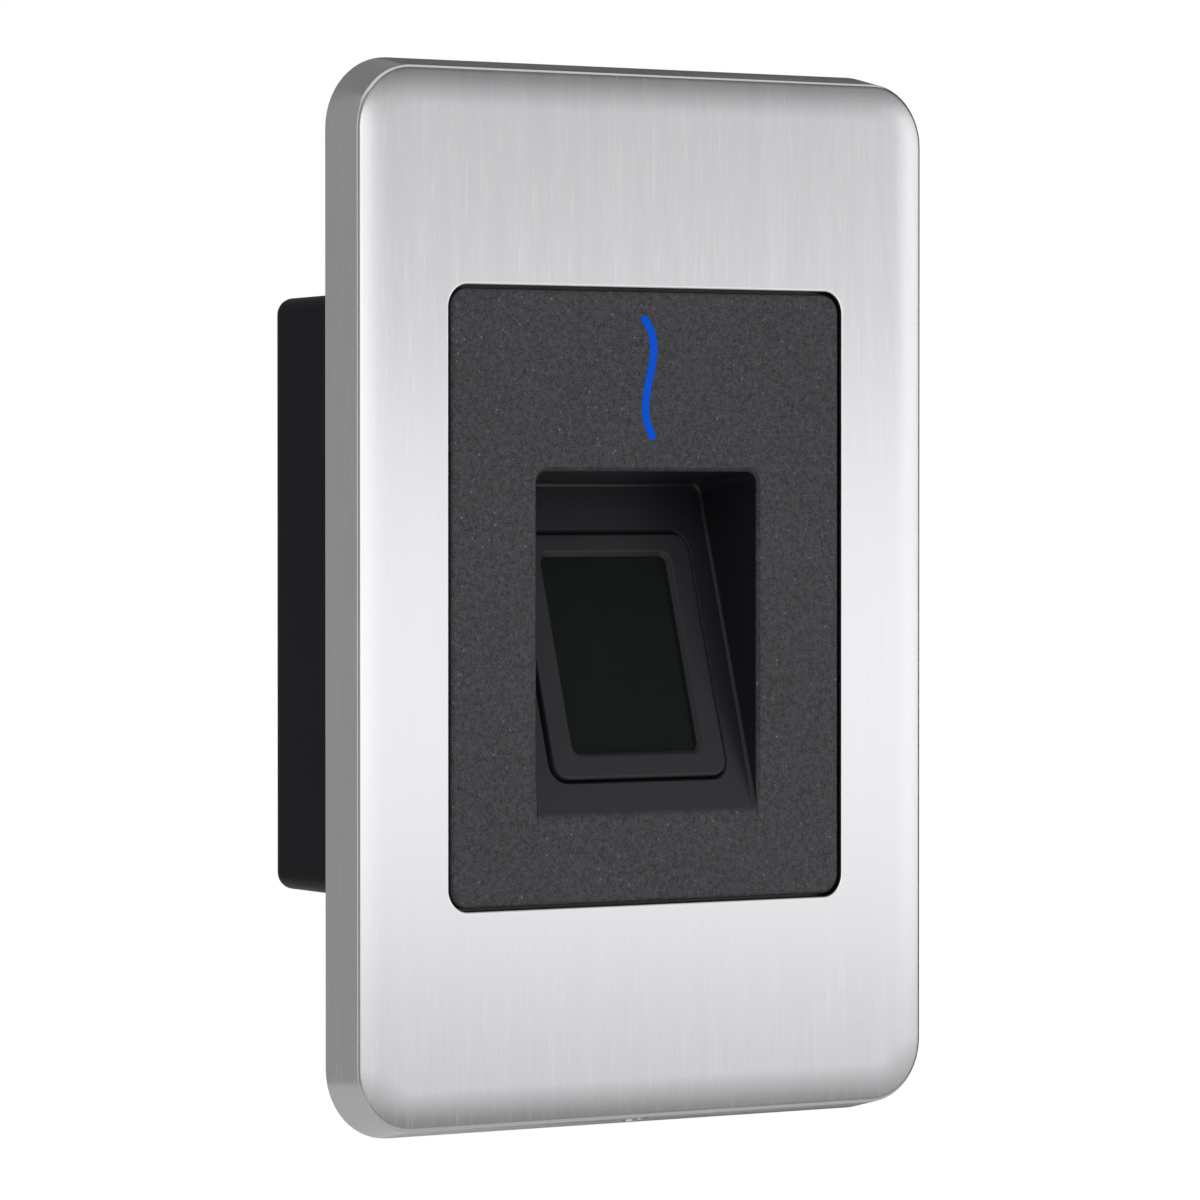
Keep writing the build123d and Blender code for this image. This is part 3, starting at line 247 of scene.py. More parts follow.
class Term:
    """A shader value: sums and products written with it become Math nodes."""

    def __init__(self, finish, socket):
        self.finish = finish
        self.socket = socket

    def math(self, operation, *others):
        """One Math node with this value as its first input."""
        made = self.finish.node("Math", {"operation": operation}, dict(enumerate((self, *others))))
        return Term(self.finish, made.outputs[0])

    def __add__(self, other):
        return self.math("ADD", other)

    def __rsub__(self, other):
        return self.math("MULTIPLY", -1.0).math("ADD", other)

    def __mul__(self, other):
        return self.math("MULTIPLY", other)

    def ramp(self, low, high, start=0.0, end=1.0):
        """Smoothly from start to end as the value goes from low to high."""
        made = self.finish.node(
            "MapRange",
            {"interpolation_type": "SMOOTHSTEP", "clamp": True},
            {"Value": self, "From Min": low, "From Max": high, "To Min": start, "To Max": end},
        )
        return Term(self.finish, made.outputs["Result"])


class Finish(NodeTree):
    """One procedural material: a Principled surface and what varies over it."""

    prefix = "ShaderNode"

    def __init__(self, name):
        self.material = bpy.data.materials.new(name)
        self.material.use_nodes = True
        self.tree = self.material.node_tree
        self.tree.nodes.clear()
        self.surface = self.node("BsdfPrincipled")
        self.node("OutputMaterial", None, {"Surface": self.surface.outputs["BSDF"]})
        self.place = self.node("TexCoord").outputs["Object"]

    def constant(self, **values):
        """Settings that are the same all over the surface."""
        for key, value in values.items():
            self.feed(self.surface.inputs[key.replace("_", " ")], value)

    def vary(self, **values):
        """What changes over the surface."""
        self.constant(**values)

    def axis(self, letter):
        """One object coordinate, in millimetres."""
        split = self.node("SeparateXYZ", None, {0: self.place})
        return Term(self, split.outputs[letter]) * PER_MM

    def scaled(self, x, y=None, z=None):
        """Object coordinates in pattern units, so many per millimetre; one number goes for all axes."""
        per_axis = tuple((x if units is None else units) * PER_MM for units in (x, y, z))
        made = self.node("VectorMath", {"operation": "MULTIPLY"}, {0: self.place, 1: per_axis})
        return made.outputs["Vector"]

    def noise(self, place, detail=2.0, roughness=0.5, distortion=0.0):
        """Soft random variation from 0 to 1."""
        made = self.node(
            "TexNoise",
            None,
            {"Vector": place, "Scale": 1.0, "Detail": detail, "Roughness": roughness,
             "Distortion": distortion},
        )
        return Term(self, made.outputs["Fac"])

    def cells(self, place):
        """Distance to the nearest of many scattered points."""
        made = self.node("TexVoronoi", {"feature": "F1"}, {"Vector": place, "Scale": 1.0})
        return Term(self, made.outputs["Distance"])

    def mix(self, factor, low, high):
        """A colour between two colours."""
        made = self.node(
            "Mix",
            {"data_type": "RGBA"},
            {"Factor_Float": factor, "A_Color": low, "B_Color": high},
        )
        return next(s for s in made.outputs if s.identifier == "Result_Color")

    def bump(self, height, strength, depth_mm):
        """Fine relief from a height term: how strong, and how deep in millimetres."""
        made = self.node(
            "Bump", None, {"Height": height, "Strength": strength, "Distance": depth_mm * MM}
        )
        return made.outputs["Normal"]


def shade(colour_value, factor):
    """A colour made lighter or darker by a factor."""
    return tuple(min(1.0, c * factor) for c in colour_value)


# --- finishes ---------------------------------------------------------------------------------
FINISHES = {}  # finish by name, filled by the finishes operator

PLASTICS = {
    "bezel_plastic": dict(
        base=(0.0220, 0.0214, 0.0268), grain_mm=0.12, relief=0.08, roughness=0.36, specular=0.24
    ),
    "housing_plastic": dict(
        base=(0.0064, 0.0060, 0.0088), grain_mm=0.20, relief=0.14, roughness=0.40, specular=0.10
    ),
    "seal_rubber": dict(
        base=(0.018, 0.018, 0.019), grain_mm=0.35, relief=0.30, roughness=0.70, specular=0.3
    ),
    "chip_black": dict(
        base=(0.022, 0.022, 0.024), grain_mm=0.15, relief=0.20, roughness=0.52, specular=0.4
    ),
    "lamp_white": dict(
        base=(0.72, 0.71, 0.66), grain_mm=0.30, relief=0.05, roughness=0.35, mottle=0.05
    ),
    "socket_ivory": dict(
        base=(0.60, 0.56, 0.46), grain_mm=0.30, relief=0.08, roughness=0.45, mottle=0.06
    ),
    "switch_blue": dict(
        base=(0.012, 0.060, 0.260), grain_mm=0.25, relief=0.08, roughness=0.40, mottle=0.08
    ),
    "slider_white": dict(
        base=(0.74, 0.74, 0.71), grain_mm=0.25, relief=0.06, roughness=0.38, mottle=0.04
    ),
}

METALS = {
    "screw_steel": dict(
        grain=(4.0, 4.0, 4.0), detail=3.0, blend=0.6, low=(0.44, 0.43, 0.42), high=(0.60, 0.59, 0.57),
        spread=0.18, roughness=0.22, relief=0.08,
    ),
    "can_aluminium": dict(
        grain=(6.0, 1.0, 6.0), detail=2.0, blend=0.5, low=(0.62, 0.63, 0.64), high=(0.76, 0.77, 0.78),
        spread=0.16, roughness=0.28,
    ),
    "contact_brass": dict(
        grain=(5.0, 5.0, 5.0), detail=2.0, blend=0.5, low=(0.66, 0.45, 0.16), high=(0.82, 0.60, 0.26),
        spread=0.15, roughness=0.20,
    ),
}


def brushed_steel(tray):
    """Steel brushed from top to bottom, with faint longer strokes."""
    finish = Finish("brushed_steel")
    fine = finish.noise(finish.scaled(7.0, 7.0, 0.16), detail=4.0, roughness=0.7, distortion=0.3)
    broad = finish.noise(finish.scaled(0.35, 0.35, 0.03), detail=3.0, roughness=0.6)
    strokes = finish.noise(finish.scaled(2.4, 2.4, 0.14), detail=3.0, roughness=0.7).ramp(0.50, 0.78)
    tone = fine * 0.4 + broad * 0.40 + strokes * 0.24
    dull, bright = shade(tray.steel, 0.96), shade(tray.steel, 1.04)
    finish.vary(
        Base_Color=finish.mix(tone.ramp(0.25, 0.75), dull, bright),
        Roughness=fine * 0.08 + broad * 0.06 + strokes * 0.05 + 0.15,
        Normal=finish.bump(fine + strokes * 0.3, strength=0.06 * tray.brush, depth_mm=0.02),
    )
    finish.constant(Metallic=1.0, Anisotropic=0.35)
    return finish.material


def satin_plastic(name, base, grain_mm, relief, roughness, specular=0.5, mottle=0.12):
    """Moulded plastic with a fine even grain; its colour varies by the mottle either way."""
    finish = Finish(name)
    grain = finish.noise(finish.scaled(1.0 / grain_mm), detail=2.0, roughness=0.6)
    cloud = finish.noise(finish.scaled(0.15), detail=2.0, roughness=0.5)
    dark, light = shade(base, 1 - mottle), shade(base, 1 + mottle)
    finish.vary(
        Base_Color=finish.mix(grain * 0.6 + cloud * 0.4, dark, light),
        Roughness=cloud * 0.08 + grain * 0.05 + (roughness - 0.065),
        Normal=finish.bump(grain, strength=relief, depth_mm=0.03),
    )
    finish.constant(Specular_IOR_Level=specular)
    return finish.material


def plain_metal(name, grain, detail, blend, low, high, spread, roughness, relief=0.0):
    """Bare metal whose colour and roughness follow one grain, with relief where it is given."""
    finish = Finish(name)
    fine = finish.noise(finish.scaled(*grain), detail=detail, roughness=blend)
    finish.vary(Base_Color=finish.mix(fine, low, high), Roughness=fine * spread + roughness)
    if relief:
        finish.vary(Normal=finish.bump(fine, strength=relief, depth_mm=0.01))
    finish.constant(Metallic=1.0)
    return finish.material


def panel_plastic(panel, face_front):
    """Grained face with light flecks; the finger recess is smooth, darkened with painted shade, and its
    floor gets painted light towards its foot.
    """
    finish = Finish("panel_plastic")
    grain_ends, recess_starts = (face_front / MM + depth for depth in (0.20, 0.50))
    foot_starts, foot_ends = -13.0, -24.0  # heights over which the recess floor gets lighter: painted light where it opens onto the face
    per = MM / panel.grain
    grain = finish.noise(finish.scaled(per), detail=2.0, roughness=0.8)
    patch = finish.noise(finish.scaled(per * 0.3), detail=2.0, roughness=0.6)
    cloud = finish.noise(finish.scaled(0.10), detail=3.0, roughness=0.6)
    inside = finish.axis("Y").ramp(grain_ends, recess_starts)
    outside = 1 - inside
    lit_foot = finish.axis("Z").ramp(foot_starts, foot_ends)
    scatter = finish.cells(finish.scaled(1.1)).ramp(0.16, 0.06)
    fleck = scatter * patch.ramp(0.48, 0.64) * outside
    speckle = grain.ramp(0.34, 0.66) * 0.55 + patch.ramp(0.30, 0.70) * 0.30 + cloud * 0.15
    grained = finish.mix(speckle, shade(panel.face, 0.02), shade(panel.face, 1.98))
    # painted shade: the recess is darker than the face, and painted light lightens its floor towards
    # the foot
    shaded_recess = finish.mix(lit_foot, panel.recess, panel.floor)
    body = finish.mix(inside, grained, shaded_recess)
    bright = (panel.fleck, panel.fleck, panel.fleck * 1.04)
    finish.vary(
        Base_Color=finish.mix(fleck, body, bright),
        Roughness=outside * 0.24 + grain * 0.10 + 0.30,
        Normal=finish.bump(grain * outside, strength=0.60, depth_mm=0.06),
    )
    finish.constant(Specular_IOR_Level=0.35)
    return finish.material


def window_glass():
    """Dark coated glass over the sensor, with the faintest haze."""
    finish = Finish("window_glass")
    haze = finish.noise(finish.scaled(0.12), detail=3.0, roughness=0.6)
    dust = finish.cells(finish.scaled(1.4)).ramp(0.07, 0.03)
    dark, light = (0.0078, 0.0107, 0.0099), (0.0106, 0.0140, 0.0131)
    finish.vary(
        Base_Color=finish.mix(haze, dark, light),
        Roughness=haze * 0.10 + dust * 0.10 + 0.04,
    )
    finish.constant(Specular_IOR_Level=0.06)
    return finish.material


def clear_plastic(name, tint):
    """Clear moulded plastic or lens glass."""
    finish = Finish(name)
    haze = finish.noise(finish.scaled(0.6), detail=2.0, roughness=0.5)
    finish.vary(Base_Color=finish.mix(haze, shade(tint, 0.94), tint), Roughness=haze * 0.05 + 0.03)
    finish.constant(Transmission_Weight=0.9, IOR=1.5)
    return finish.material


def lit_plastic(light):
    """The status light's line: blue, a little brighter along some stretches."""
    finish = Finish("light_blue")
    drift = finish.noise(finish.scaled(0.12, 0.12, 0.22), detail=1.0, roughness=0.5)
    finish.vary(
        Base_Color=finish.mix(drift, shade(light.blue, 0.17), shade(light.blue, 0.22)),
        Emission_Color=finish.mix(drift, shade(light.blue, 0.86), shade(light.blue, 1.12)),
        Roughness=drift * 0.05 + 0.35,
    )
    finish.constant(Emission_Strength=light.glow, Specular_IOR_Level=0.02)
    return finish.material


def plated_sheet():
    """Zinc-plated sheet with faint crystal blooms and drawing marks."""
    finish = Finish("zinc_sheet")
    bloom = finish.cells(finish.scaled(0.32))
    fine = finish.noise(finish.scaled(3.0, 3.0, 0.25), detail=3.0, roughness=0.6)
    tone = bloom * 0.5 + fine * 0.5
    dull, bright = (0.50, 0.51, 0.52), (0.66, 0.67, 0.68)
    finish.vary(
        Base_Color=finish.mix(tone.ramp(0.2, 0.8), dull, bright),
        Roughness=bloom * 0.14 + fine * 0.12 + 0.26,
        Normal=finish.bump(fine + bloom * 0.3, strength=0.12, depth_mm=0.02),
    )
    finish.constant(Metallic=1.0)
    return finish.material


def board_green():
    """Solder mask over copper tracks, with rows of tinned pads."""
    finish = Finish("board_green")
    tracks = finish.node(
        "TexBrick",
        {"offset": 0.37, "squash": 0.6},
        {"Vector": finish.scaled(0.35), "Scale": 1.0, "Mortar Size": 0.09, "Mortar Smooth": 0.3,
         "Color1": (0, 0, 0), "Color2": (0, 0, 0), "Mortar": (1, 1, 1)},
    )
    copper = Term(finish, finish.node("RGBToBW", None, {0: tracks.outputs["Color"]}).outputs[0])
    cloud = finish.noise(finish.scaled(0.2), detail=2.0, roughness=0.5)
    pads = finish.cells(finish.scaled(0.42)).ramp(0.20, 0.14)
    deep, green = (0.006, 0.070, 0.026), (0.010, 0.100, 0.038)
    track, tin = (0.030, 0.200, 0.070), (0.55, 0.53, 0.48)
    traced = finish.mix(copper * 0.6, finish.mix(cloud, deep, green), track)
    finish.vary(
        Base_Color=finish.mix(pads, traced, tin),
        Metallic=pads * 0.9,
        Roughness=cloud * 0.10 + 0.30,
        Normal=finish.bump(copper + pads * 0.5, strength=0.15, depth_mm=0.03),
    )
    return finish.material


# --- mesh building ------------------------------------------------------------------------------
def outline(width, height, corner):
    """A rounded rectangle round the middle, with the same number of points at every size."""
    points = []
    for side, rise, start in ((1, 1, 0), (-1, 1, 90), (-1, -1, 180), (1, -1, 270)):
        centre = (side * (width / 2 - corner), rise * (height / 2 - corner))
        points += arc(centre, corner, start, start + 90, ARC_STEPS)
    return points


def arc(centre, radius, start, end, steps):
    """Points of an arc between two angles in degrees."""
    found = []
    for step in range(steps + 1):
        angle = math.radians(start + (end - start) * step / steps)
        found.append((centre[0] + radius * math.cos(angle), centre[1] + radius * math.sin(angle)))
    return found


def circle(radius, z, sides):
    """A level ring of points round the upright axis."""
    turns = [2 * math.pi * step / sides for step in range(sides)]
    return [(radius * math.cos(turn), radius * math.sin(turn), z) for turn in turns]


def new_object(name, mesh):
    """Links a mesh to the scene as an object at the origin."""
    made = bpy.data.objects.new(name, mesh)
    bpy.context.scene.collection.objects.link(made)
    return made


def loft(name, rings, closed=True, capped=False, sharp=35.0):
    """A skin through rings of equal count; closed joins the last ring to the first."""
    bm = bmesh.new()
    rows = [[bm.verts.new(point) for point in ring] for ring in rings]
    count = len(rows[0])
    pairs = list(zip(rows, rows[1:]))
    if closed:
        pairs.append((rows[-1], rows[0]))
    for low, high in pairs:
        for i in range(count):
            j = (i + 1) % count
            bm.faces.new((low[i], low[j], high[j], high[i]))
    if capped:
        bm.faces.new(rows[0])
        bm.faces.new(rows[-1])
    bmesh.ops.remove_doubles(bm, verts=bm.verts, dist=HAIR)
    bmesh.ops.recalc_face_normals(bm, faces=bm.faces)
    mesh = bpy.data.meshes.new(name)
    bm.to_mesh(mesh)
    bm.free()
    smooth(mesh, sharp)
    return new_object(name, mesh)


def smooth(mesh, sharp):
    """Smooth shading that keeps edges over an angle crisp."""
    for face in mesh.polygons:
        face.use_smooth = True
    mesh.set_sharp_from_angle(angle=math.radians(sharp))


def dress(piece, finish):
    """Gives a piece its one finish."""
    piece.data.materials.clear()
    piece.data.materials.append(finish)


def solid_cut(piece, cutter):
    """Cuts one mesh out of another and throws the cutter away."""
    cut = piece.modifiers.new("cut", "BOOLEAN")
    cut.operation = "DIFFERENCE"
    cut.solver = "EXACT"
    cut.object = cutter
    baked(piece)
    bpy.data.objects.remove(cutter)


def baked(piece):
    """Turns a piece with modifiers into its plain final mesh."""
    view = bpy.context.evaluated_depsgraph_get()
    mesh = bpy.data.meshes.new_from_object(piece.evaluated_get(view))
    piece.modifiers.clear()
    piece.data = mesh
    mesh.name = piece.name
    return piece


def tray_front(tray, depth):
    """The tray's section from its rear edge to the flat front, as (inward, y) points."""
    crease = (tray.lean, depth - tray.roll_drop)
    side_angle = math.degrees(math.atan2(tray.lean, crease[1]))
    roll_angle = math.degrees(2 * math.atan(tray.roll_drop / tray.roll_width))
    turn = math.radians(90 - side_angle - roll_angle) / 2
    side = Vector(crease).normalized()
    low = Vector(crease) - side * tray.crease * math.tan(turn)
    middle = low + Vector((side.y, -side.x)) * tray.crease
    section = [(tray.edge, 0.0), (0.0, tray.edge)]
    section += arc(middle, tray.crease, 180 - side_angle, 90 + roll_angle, CREASE_STEPS)
    roll = (tray.roll_width**2 + tray.roll_drop**2) / (2 * tray.roll_drop)
    roll_middle = (tray.lean + tray.roll_width, depth - roll)
    last = section[-1]
    start = math.degrees(math.atan2(last[1] - roll_middle[1], last[0] - roll_middle[0]))
    section += arc(roll_middle, roll, start, 90, ROLL_STEPS)[1:]
    section.append((section[-1][0] + FLAT, depth))
    return [(inward, -forward) for inward, forward in section]


def tray_window(tray, depth, width, height):
    """The tray's window from its front edge to the inner face: (width, height, corner, y)."""
    edge = tray.edge
    sizes = []
    for grow, back in ((edge + FLAT, 0.0), (edge, 0.0), (edge * 0.3, edge * 0.3), (0.0, edge)):
        sizes.append((width + 2 * grow, height + 2 * grow, tray.window_corner + grow, back - depth))
    return sizes + [(width, height, tray.window_corner, tray.sheet - depth)]


def tray_back(tray, depth):
    """The tray's inside from its inner face to the rear edge, as (inward, y) points."""
    inner = tray.sheet - depth
    inset = tray.lean + tray.sheet
    bend = [(inset + inward * MM, inner + back * MM) for inward, back in INNER_BEND]
    return bend + [(tray.sheet, -tray.edge), (tray.sheet - tray.edge, 0.0)]


class TERMINAL_OT_tray(bpy.types.Operator):
    """Builds the brushed steel tray in place of its plain solid"""

    bl_idname = "terminal.tray"
    bl_label = "Steel tray"

    def execute(self, context):
        tray = context.scene.terminal_tray
        low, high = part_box("face_plate")
        width, depth, height = high.x - low.x, high.y - low.y, high.z - low.z
        tape_low, tape_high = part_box("panel_tape")
        reach = 2 * (tray.window_gap + TAPE_INSET - tray.flange)
        window_width = tape_high.x - tape_low.x + reach
        window_height = tape_high.z - tape_low.z + reach

        def outlines(section):
            return [(width - 2 * step, height - 2 * step, tray.corner - step, y) for step, y in section]

        sizes = outlines(tray_front(tray, depth))
        flat_width, flat_height, flat_corner, flat_y = sizes[-1]
        sizes[-1] = (flat_width, flat_height, max(flat_corner, FLAT_CORNER), flat_y)
        sizes += tray_window(tray, depth, window_width, window_height)
        sizes += outlines(tray_back(tray, depth))
        rings = [[(x, y, z) for x, z in outline(a, b, corner)] for a, b, corner, y in sizes]
        piece = loft("brushed_tray", rings)
        lock_low, lock_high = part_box("lock_screw")
        middle = (lock_low + lock_high) / 2
        drill = cylinder("lock_drill", tray.lock_hole, DRILL_LENGTH, DRILL_SIDES)
        drill.data.transform(Matrix.Translation((middle.x, middle.y, low.z)))
        solid_cut(piece, drill)
        smooth(piece.data, CRISP)
        dress(piece, FINISHES["brushed_steel"])
        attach(piece, "terminal")
        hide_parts("face_plate")
        return {"FINISHED"}


def cylinder(name, radius, height, sides):
    """An upright round bar centred on the origin."""
    rings = [circle(radius, z, sides) for z in (-height / 2, height / 2)]
    return loft(name, rings, closed=False, capped=True)


def sensor_frame(bezel):
    """Place and lean of the sensor: its own width, length up the slope, and height off the floor."""
    low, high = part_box("sensor_window")
    middle = (low + high) / 2
    lean = Matrix.Rotation(math.pi / 2 - bezel.tilt, 4, "X")
    up = (lean @ Vector((0.0, 0.0, 1.0))).normalized()
    glass_middle = -(bezel.sunk + bezel.bevel - bezel.proud) - bezel.glass / 2
    return Matrix.Translation(middle - up * glass_middle) @ lean


def bezel_sizes(bezel, glass_top):
    """The bezel's skin from the glass's seat over the top to the ears: (width, length, corner, z)."""
    foot = -bezel.seat - bezel.ear
    width, tall, corner = bezel.width, bezel.length, bezel.corner
    inner_width, inner_tall, inner_corner = bezel.window_width, bezel.window_length, bezel.window_corner
    seat = 2 * (bezel.ledge + bezel.slip)
    ears = (width + 2 * bezel.ear_side, tall + 2 * bezel.ear_end, corner)
    sizes = [
        (inner_width + seat, inner_tall + seat, inner_corner, foot),
        (inner_width + seat, inner_tall + seat, inner_corner, glass_top),
        (inner_width, inner_tall, inner_corner, glass_top),
        (inner_width, inner_tall, inner_corner, bezel.proud - bezel.bevel),
    ]
    for outward, upward in BEVEL_ROUND:
        out = bezel.bevel + outward * MM
        height = bezel.proud + upward * MM
        sizes.append((inner_width + 2 * out, inner_tall + 2 * out, inner_corner + out, height))
    rim = bezel.edge + RIM_FLAT
    sizes.append((width - 2 * rim, tall - 2 * rim, corner - rim, bezel.proud))
    for x, z in arc((bezel.edge, bezel.proud - bezel.edge), bezel.edge, 90, 180, EDGE_STEPS):
        sizes.append((width - 2 * x, tall - 2 * x, corner - x, z))
    return sizes + [(width, tall, corner, -bezel.seat), (*ears, -bezel.seat), (*ears, foot)]


def pane_sizes(bezel, glass_top):
    """The glass's skin from its back to its front: (width, length, corner, z)."""
    width = bezel.window_width + 2 * bezel.ledge
    tall = bezel.window_length + 2 * bezel.ledge
    corner = bezel.window_corner
    bottom = glass_top - bezel.glass
    inner = (width - 2 * PANE_INSET, tall - 2 * PANE_INSET, corner / 2)
    return [
        (*inner, bottom),
        (width, tall, corner, bottom),
        (width, tall, corner, glass_top - CHAMFER),
        (width - 2 * CHAMFER, tall - 2 * CHAMFER, corner - CHAMFER, glass_top),
        (*inner, glass_top),
    ]


class TERMINAL_OT_bezel(bpy.types.Operator):
    """Builds the sensor's satin bezel and its dark glass"""

    bl_idname = "terminal.bezel"
    bl_label = "Sensor bezel and glass"

    def execute(self, context):
        bezel = context.scene.terminal_bezel
        place = sensor_frame(bezel)
        glass_top = bezel.proud - bezel.sunk - bezel.bevel
        halfway = (bezel.width + bezel.window_width) / 2
        rings = []
        for width, tall, corner, z in bezel_sizes(bezel, glass_top):
            down = 0.0 if width < halfway else bezel.window_rise
            rings.append([(x, up - down, z) for x, up in outline(width, tall, corner)])
        piece = loft("satin_bezel", rings, sharp=BEZEL_CRISP)
        piece.data.transform(place)
        dress(piece, FINISHES["bezel_plastic"])
        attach(piece, "terminal")
        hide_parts("sensor_bezel")

        rings = [[(x, up, z) for x, up in outline(*size)] for *size, z in pane_sizes(bezel, glass_top)]
        pane = loft("scan_window", rings, closed=False, capped=True, sharp=GLASS_CRISP)
        pane.data.transform(place)
        dress(pane, FINISHES["window_glass"])
        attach(pane, "terminal")
        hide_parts("sensor_window")
        return {"FINISHED"}


# --- geometry node pieces ---------------------------------------------------------------------
class NodeShape(NodeTree):
    """A geometry node tree built in code, with named inputs that a modifier sets."""

    def __init__(self, name):
        self.tree = bpy.data.node_groups.new(name, "GeometryNodeTree")
        self.tree.interface.new_socket("Geometry", in_out="INPUT", socket_type="NodeSocketGeometry")
        self.tree.interface.new_socket("Geometry", in_out="OUTPUT", socket_type="NodeSocketGeometry")
        self.values = {}
        self.source = self.tree.nodes.new("NodeGroupInput")

    def input(self, name, kind, value):
        """A named input with the value that this piece uses."""
        socket = self.tree.interface.new_socket(name, in_out="INPUT", socket_type="NodeSocket" + kind)
        self.values[socket.identifier] = value
        return self.source.outputs[name]

    def finish(self, geometry, material):
        """Ends the tree with plain geometry in one material."""
        real = self.node("GeometryNodeRealizeInstances", None, {"Geometry": geometry})
        dressed = self.node(
            "GeometryNodeSetMaterial", None, {"Geometry": real.outputs[0], "Material": material}
        )
        end = self.tree.nodes.new("NodeGroupOutput")
        self.tree.links.new(dressed.outputs[0], end.inputs[0])

    def make(self, name, start_mesh):
        """Runs the tree on a start mesh and returns the plain result."""
        piece = new_object(name, start_mesh)
        modifier = piece.modifiers.new("shape", "NODES")
        modifier.node_group = self.tree
        for identifier, value in self.values.items():
            modifier[identifier] = value
        return baked(piece)


def point_mesh(name, points):
    """A mesh of loose points."""
    mesh = bpy.data.meshes.new(name)
    mesh.from_pydata([tuple(p) for p in points], [], [])
    return mesh


# head radius, head height and shank radius of each set of screws, in millimetres
SCREW_KINDS = {
    "housing_screws": (2.4, 1.6, 1.28),
    "status_screws": (1.7, 1.0, 0.98),
    "board_screws": (1.8, 1.1, 0.98),
    "sensor_screws": (1.8, 1.2, 0.98),
}
SENSOR_SCREW_LENGTH = 3.5 * MM


def screw_template(head_radius, head_height, shank_radius, length, screws):
    """One cross-head screw with its head's underside on XY, threaded down its shank."""
    point, root, neck = (shank_radius * part for part in (0.55, 0.86, 0.9))
    point_length, first_turn, plain_length = 0.35 * MM, 0.4 * MM, 0.5 * MM
    crest_at, root_at = screws.thread * 0.3, screws.thread * 0.8
    profile = [(HAIR, -length), (point, -length), (root, -length + point_length)]
    for turn in range(int((length - plain_length) / screws.thread)):
        z = -length + first_turn + turn * screws.thread
        profile += [(shank_radius, z + crest_at), (root, z + root_at)]
    dome = head_height * screws.dome
    profile += [(neck, 0.0), (head_radius, 0.0), (head_radius, head_height - dome)]
    profile += arc((head_radius - dome, head_height - dome), dome, 0, 90, EDGE_STEPS)[1:]
    profile.append((HAIR, head_height))
    rings = [circle(radius, z, TURNED_SIDES) for radius, z in profile]
    screw = loft("screw_template", rings, closed=False, capped=True, sharp=CRISP)

    span, blade = head_radius * screws.recess, head_radius * screws.blade
    cross_floor, cutter_top, taper = head_height * 0.35, head_height * 1.3, 0.55
    for half_x, half_y in ((span, blade), (blade, span)):
        rings = []
        for shrink, z in ((taper, cross_floor), (1.0, cutter_top)):
            x, y = half_x * shrink, half_y * shrink
            rings.append([(x, y, z), (-x, y, z), (-x, -y, z), (x, -y, z)])
        solid_cut(screw, loft("cross_cutter", rings, closed=False, capped=True))
    smooth(screw.data, CRISP)
    return screw


def screw_set(node, places, rotation, length, screws):
    """Screws on their places, each turned by chance about its own axis."""
    name = node + "_detailed"
    template = screw_template(*(size * MM for size in SCREW_KINDS[node]), length, screws)
    shape = NodeShape(name)
    screw = shape.input("Screw", "Object", template)
    lean = shape.input("Lean", "Vector", tuple(rotation))
    seed = shape.input("Seed", "Int", screws.seed)
    held = shape.node("GeometryNodeObjectInfo", None, {"Object": screw})
    chance = shape.node(
        "FunctionNodeRandomValue", {"data_type": "FLOAT"}, {"Max_001": math.pi, "Seed": seed}
    )
    turn = shape.node(
        "FunctionNodeAxisAngleToRotation", None, {"Axis": (0.0, 0.0, 1.0), "Angle": chance.outputs[1]}
    )
    base = shape.node("FunctionNodeEulerToRotation", None, {"Euler": lean})
    turned = shape.node(
        "FunctionNodeRotateRotation", {"rotation_space": "LOCAL"},
        {"Rotation": base.outputs[0], "Rotate By": turn.outputs[0]},
    )
    copies = shape.node(
        "GeometryNodeInstanceOnPoints", None,
        {"Points": shape.source.outputs["Geometry"], "Instance": held.outputs["Geometry"],
         "Rotation": turned.outputs[0]},
    )
    shape.finish(copies.outputs[0], FINISHES["screw_steel"])
    piece = shape.make(name, point_mesh(name, places))
    bpy.data.objects.remove(template)
    smooth(piece.data, CRISP)
    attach(piece, "terminal")
    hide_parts(node)


def islands(node):
    """Boxes of a node's separate solids, each as (lowest, highest), found by shared places."""
    bm = bmesh.new()
    bm.from_mesh(nodes[node].data)
    bmesh.ops.remove_doubles(bm, verts=bm.verts, dist=0.001 * MM)
    seen = set()
    boxes = []
    for start in bm.verts:
        if start in seen:
            continue
        seen.add(start)
        reach = [start]
        for vert in reach:
            for edge in vert.link_edges:
                other = edge.other_vert(vert)
                if other not in seen:
                    seen.add(other)
                    reach.append(other)
        low = Vector(min(v.co[i] for v in reach) for i in range(3))
        high = Vector(max(v.co[i] for v in reach) for i in range(3))
        boxes.append((low, high))
    bm.free()
    return sorted(boxes, key=lambda box: tuple(round(c, 5) for c in box[0]))


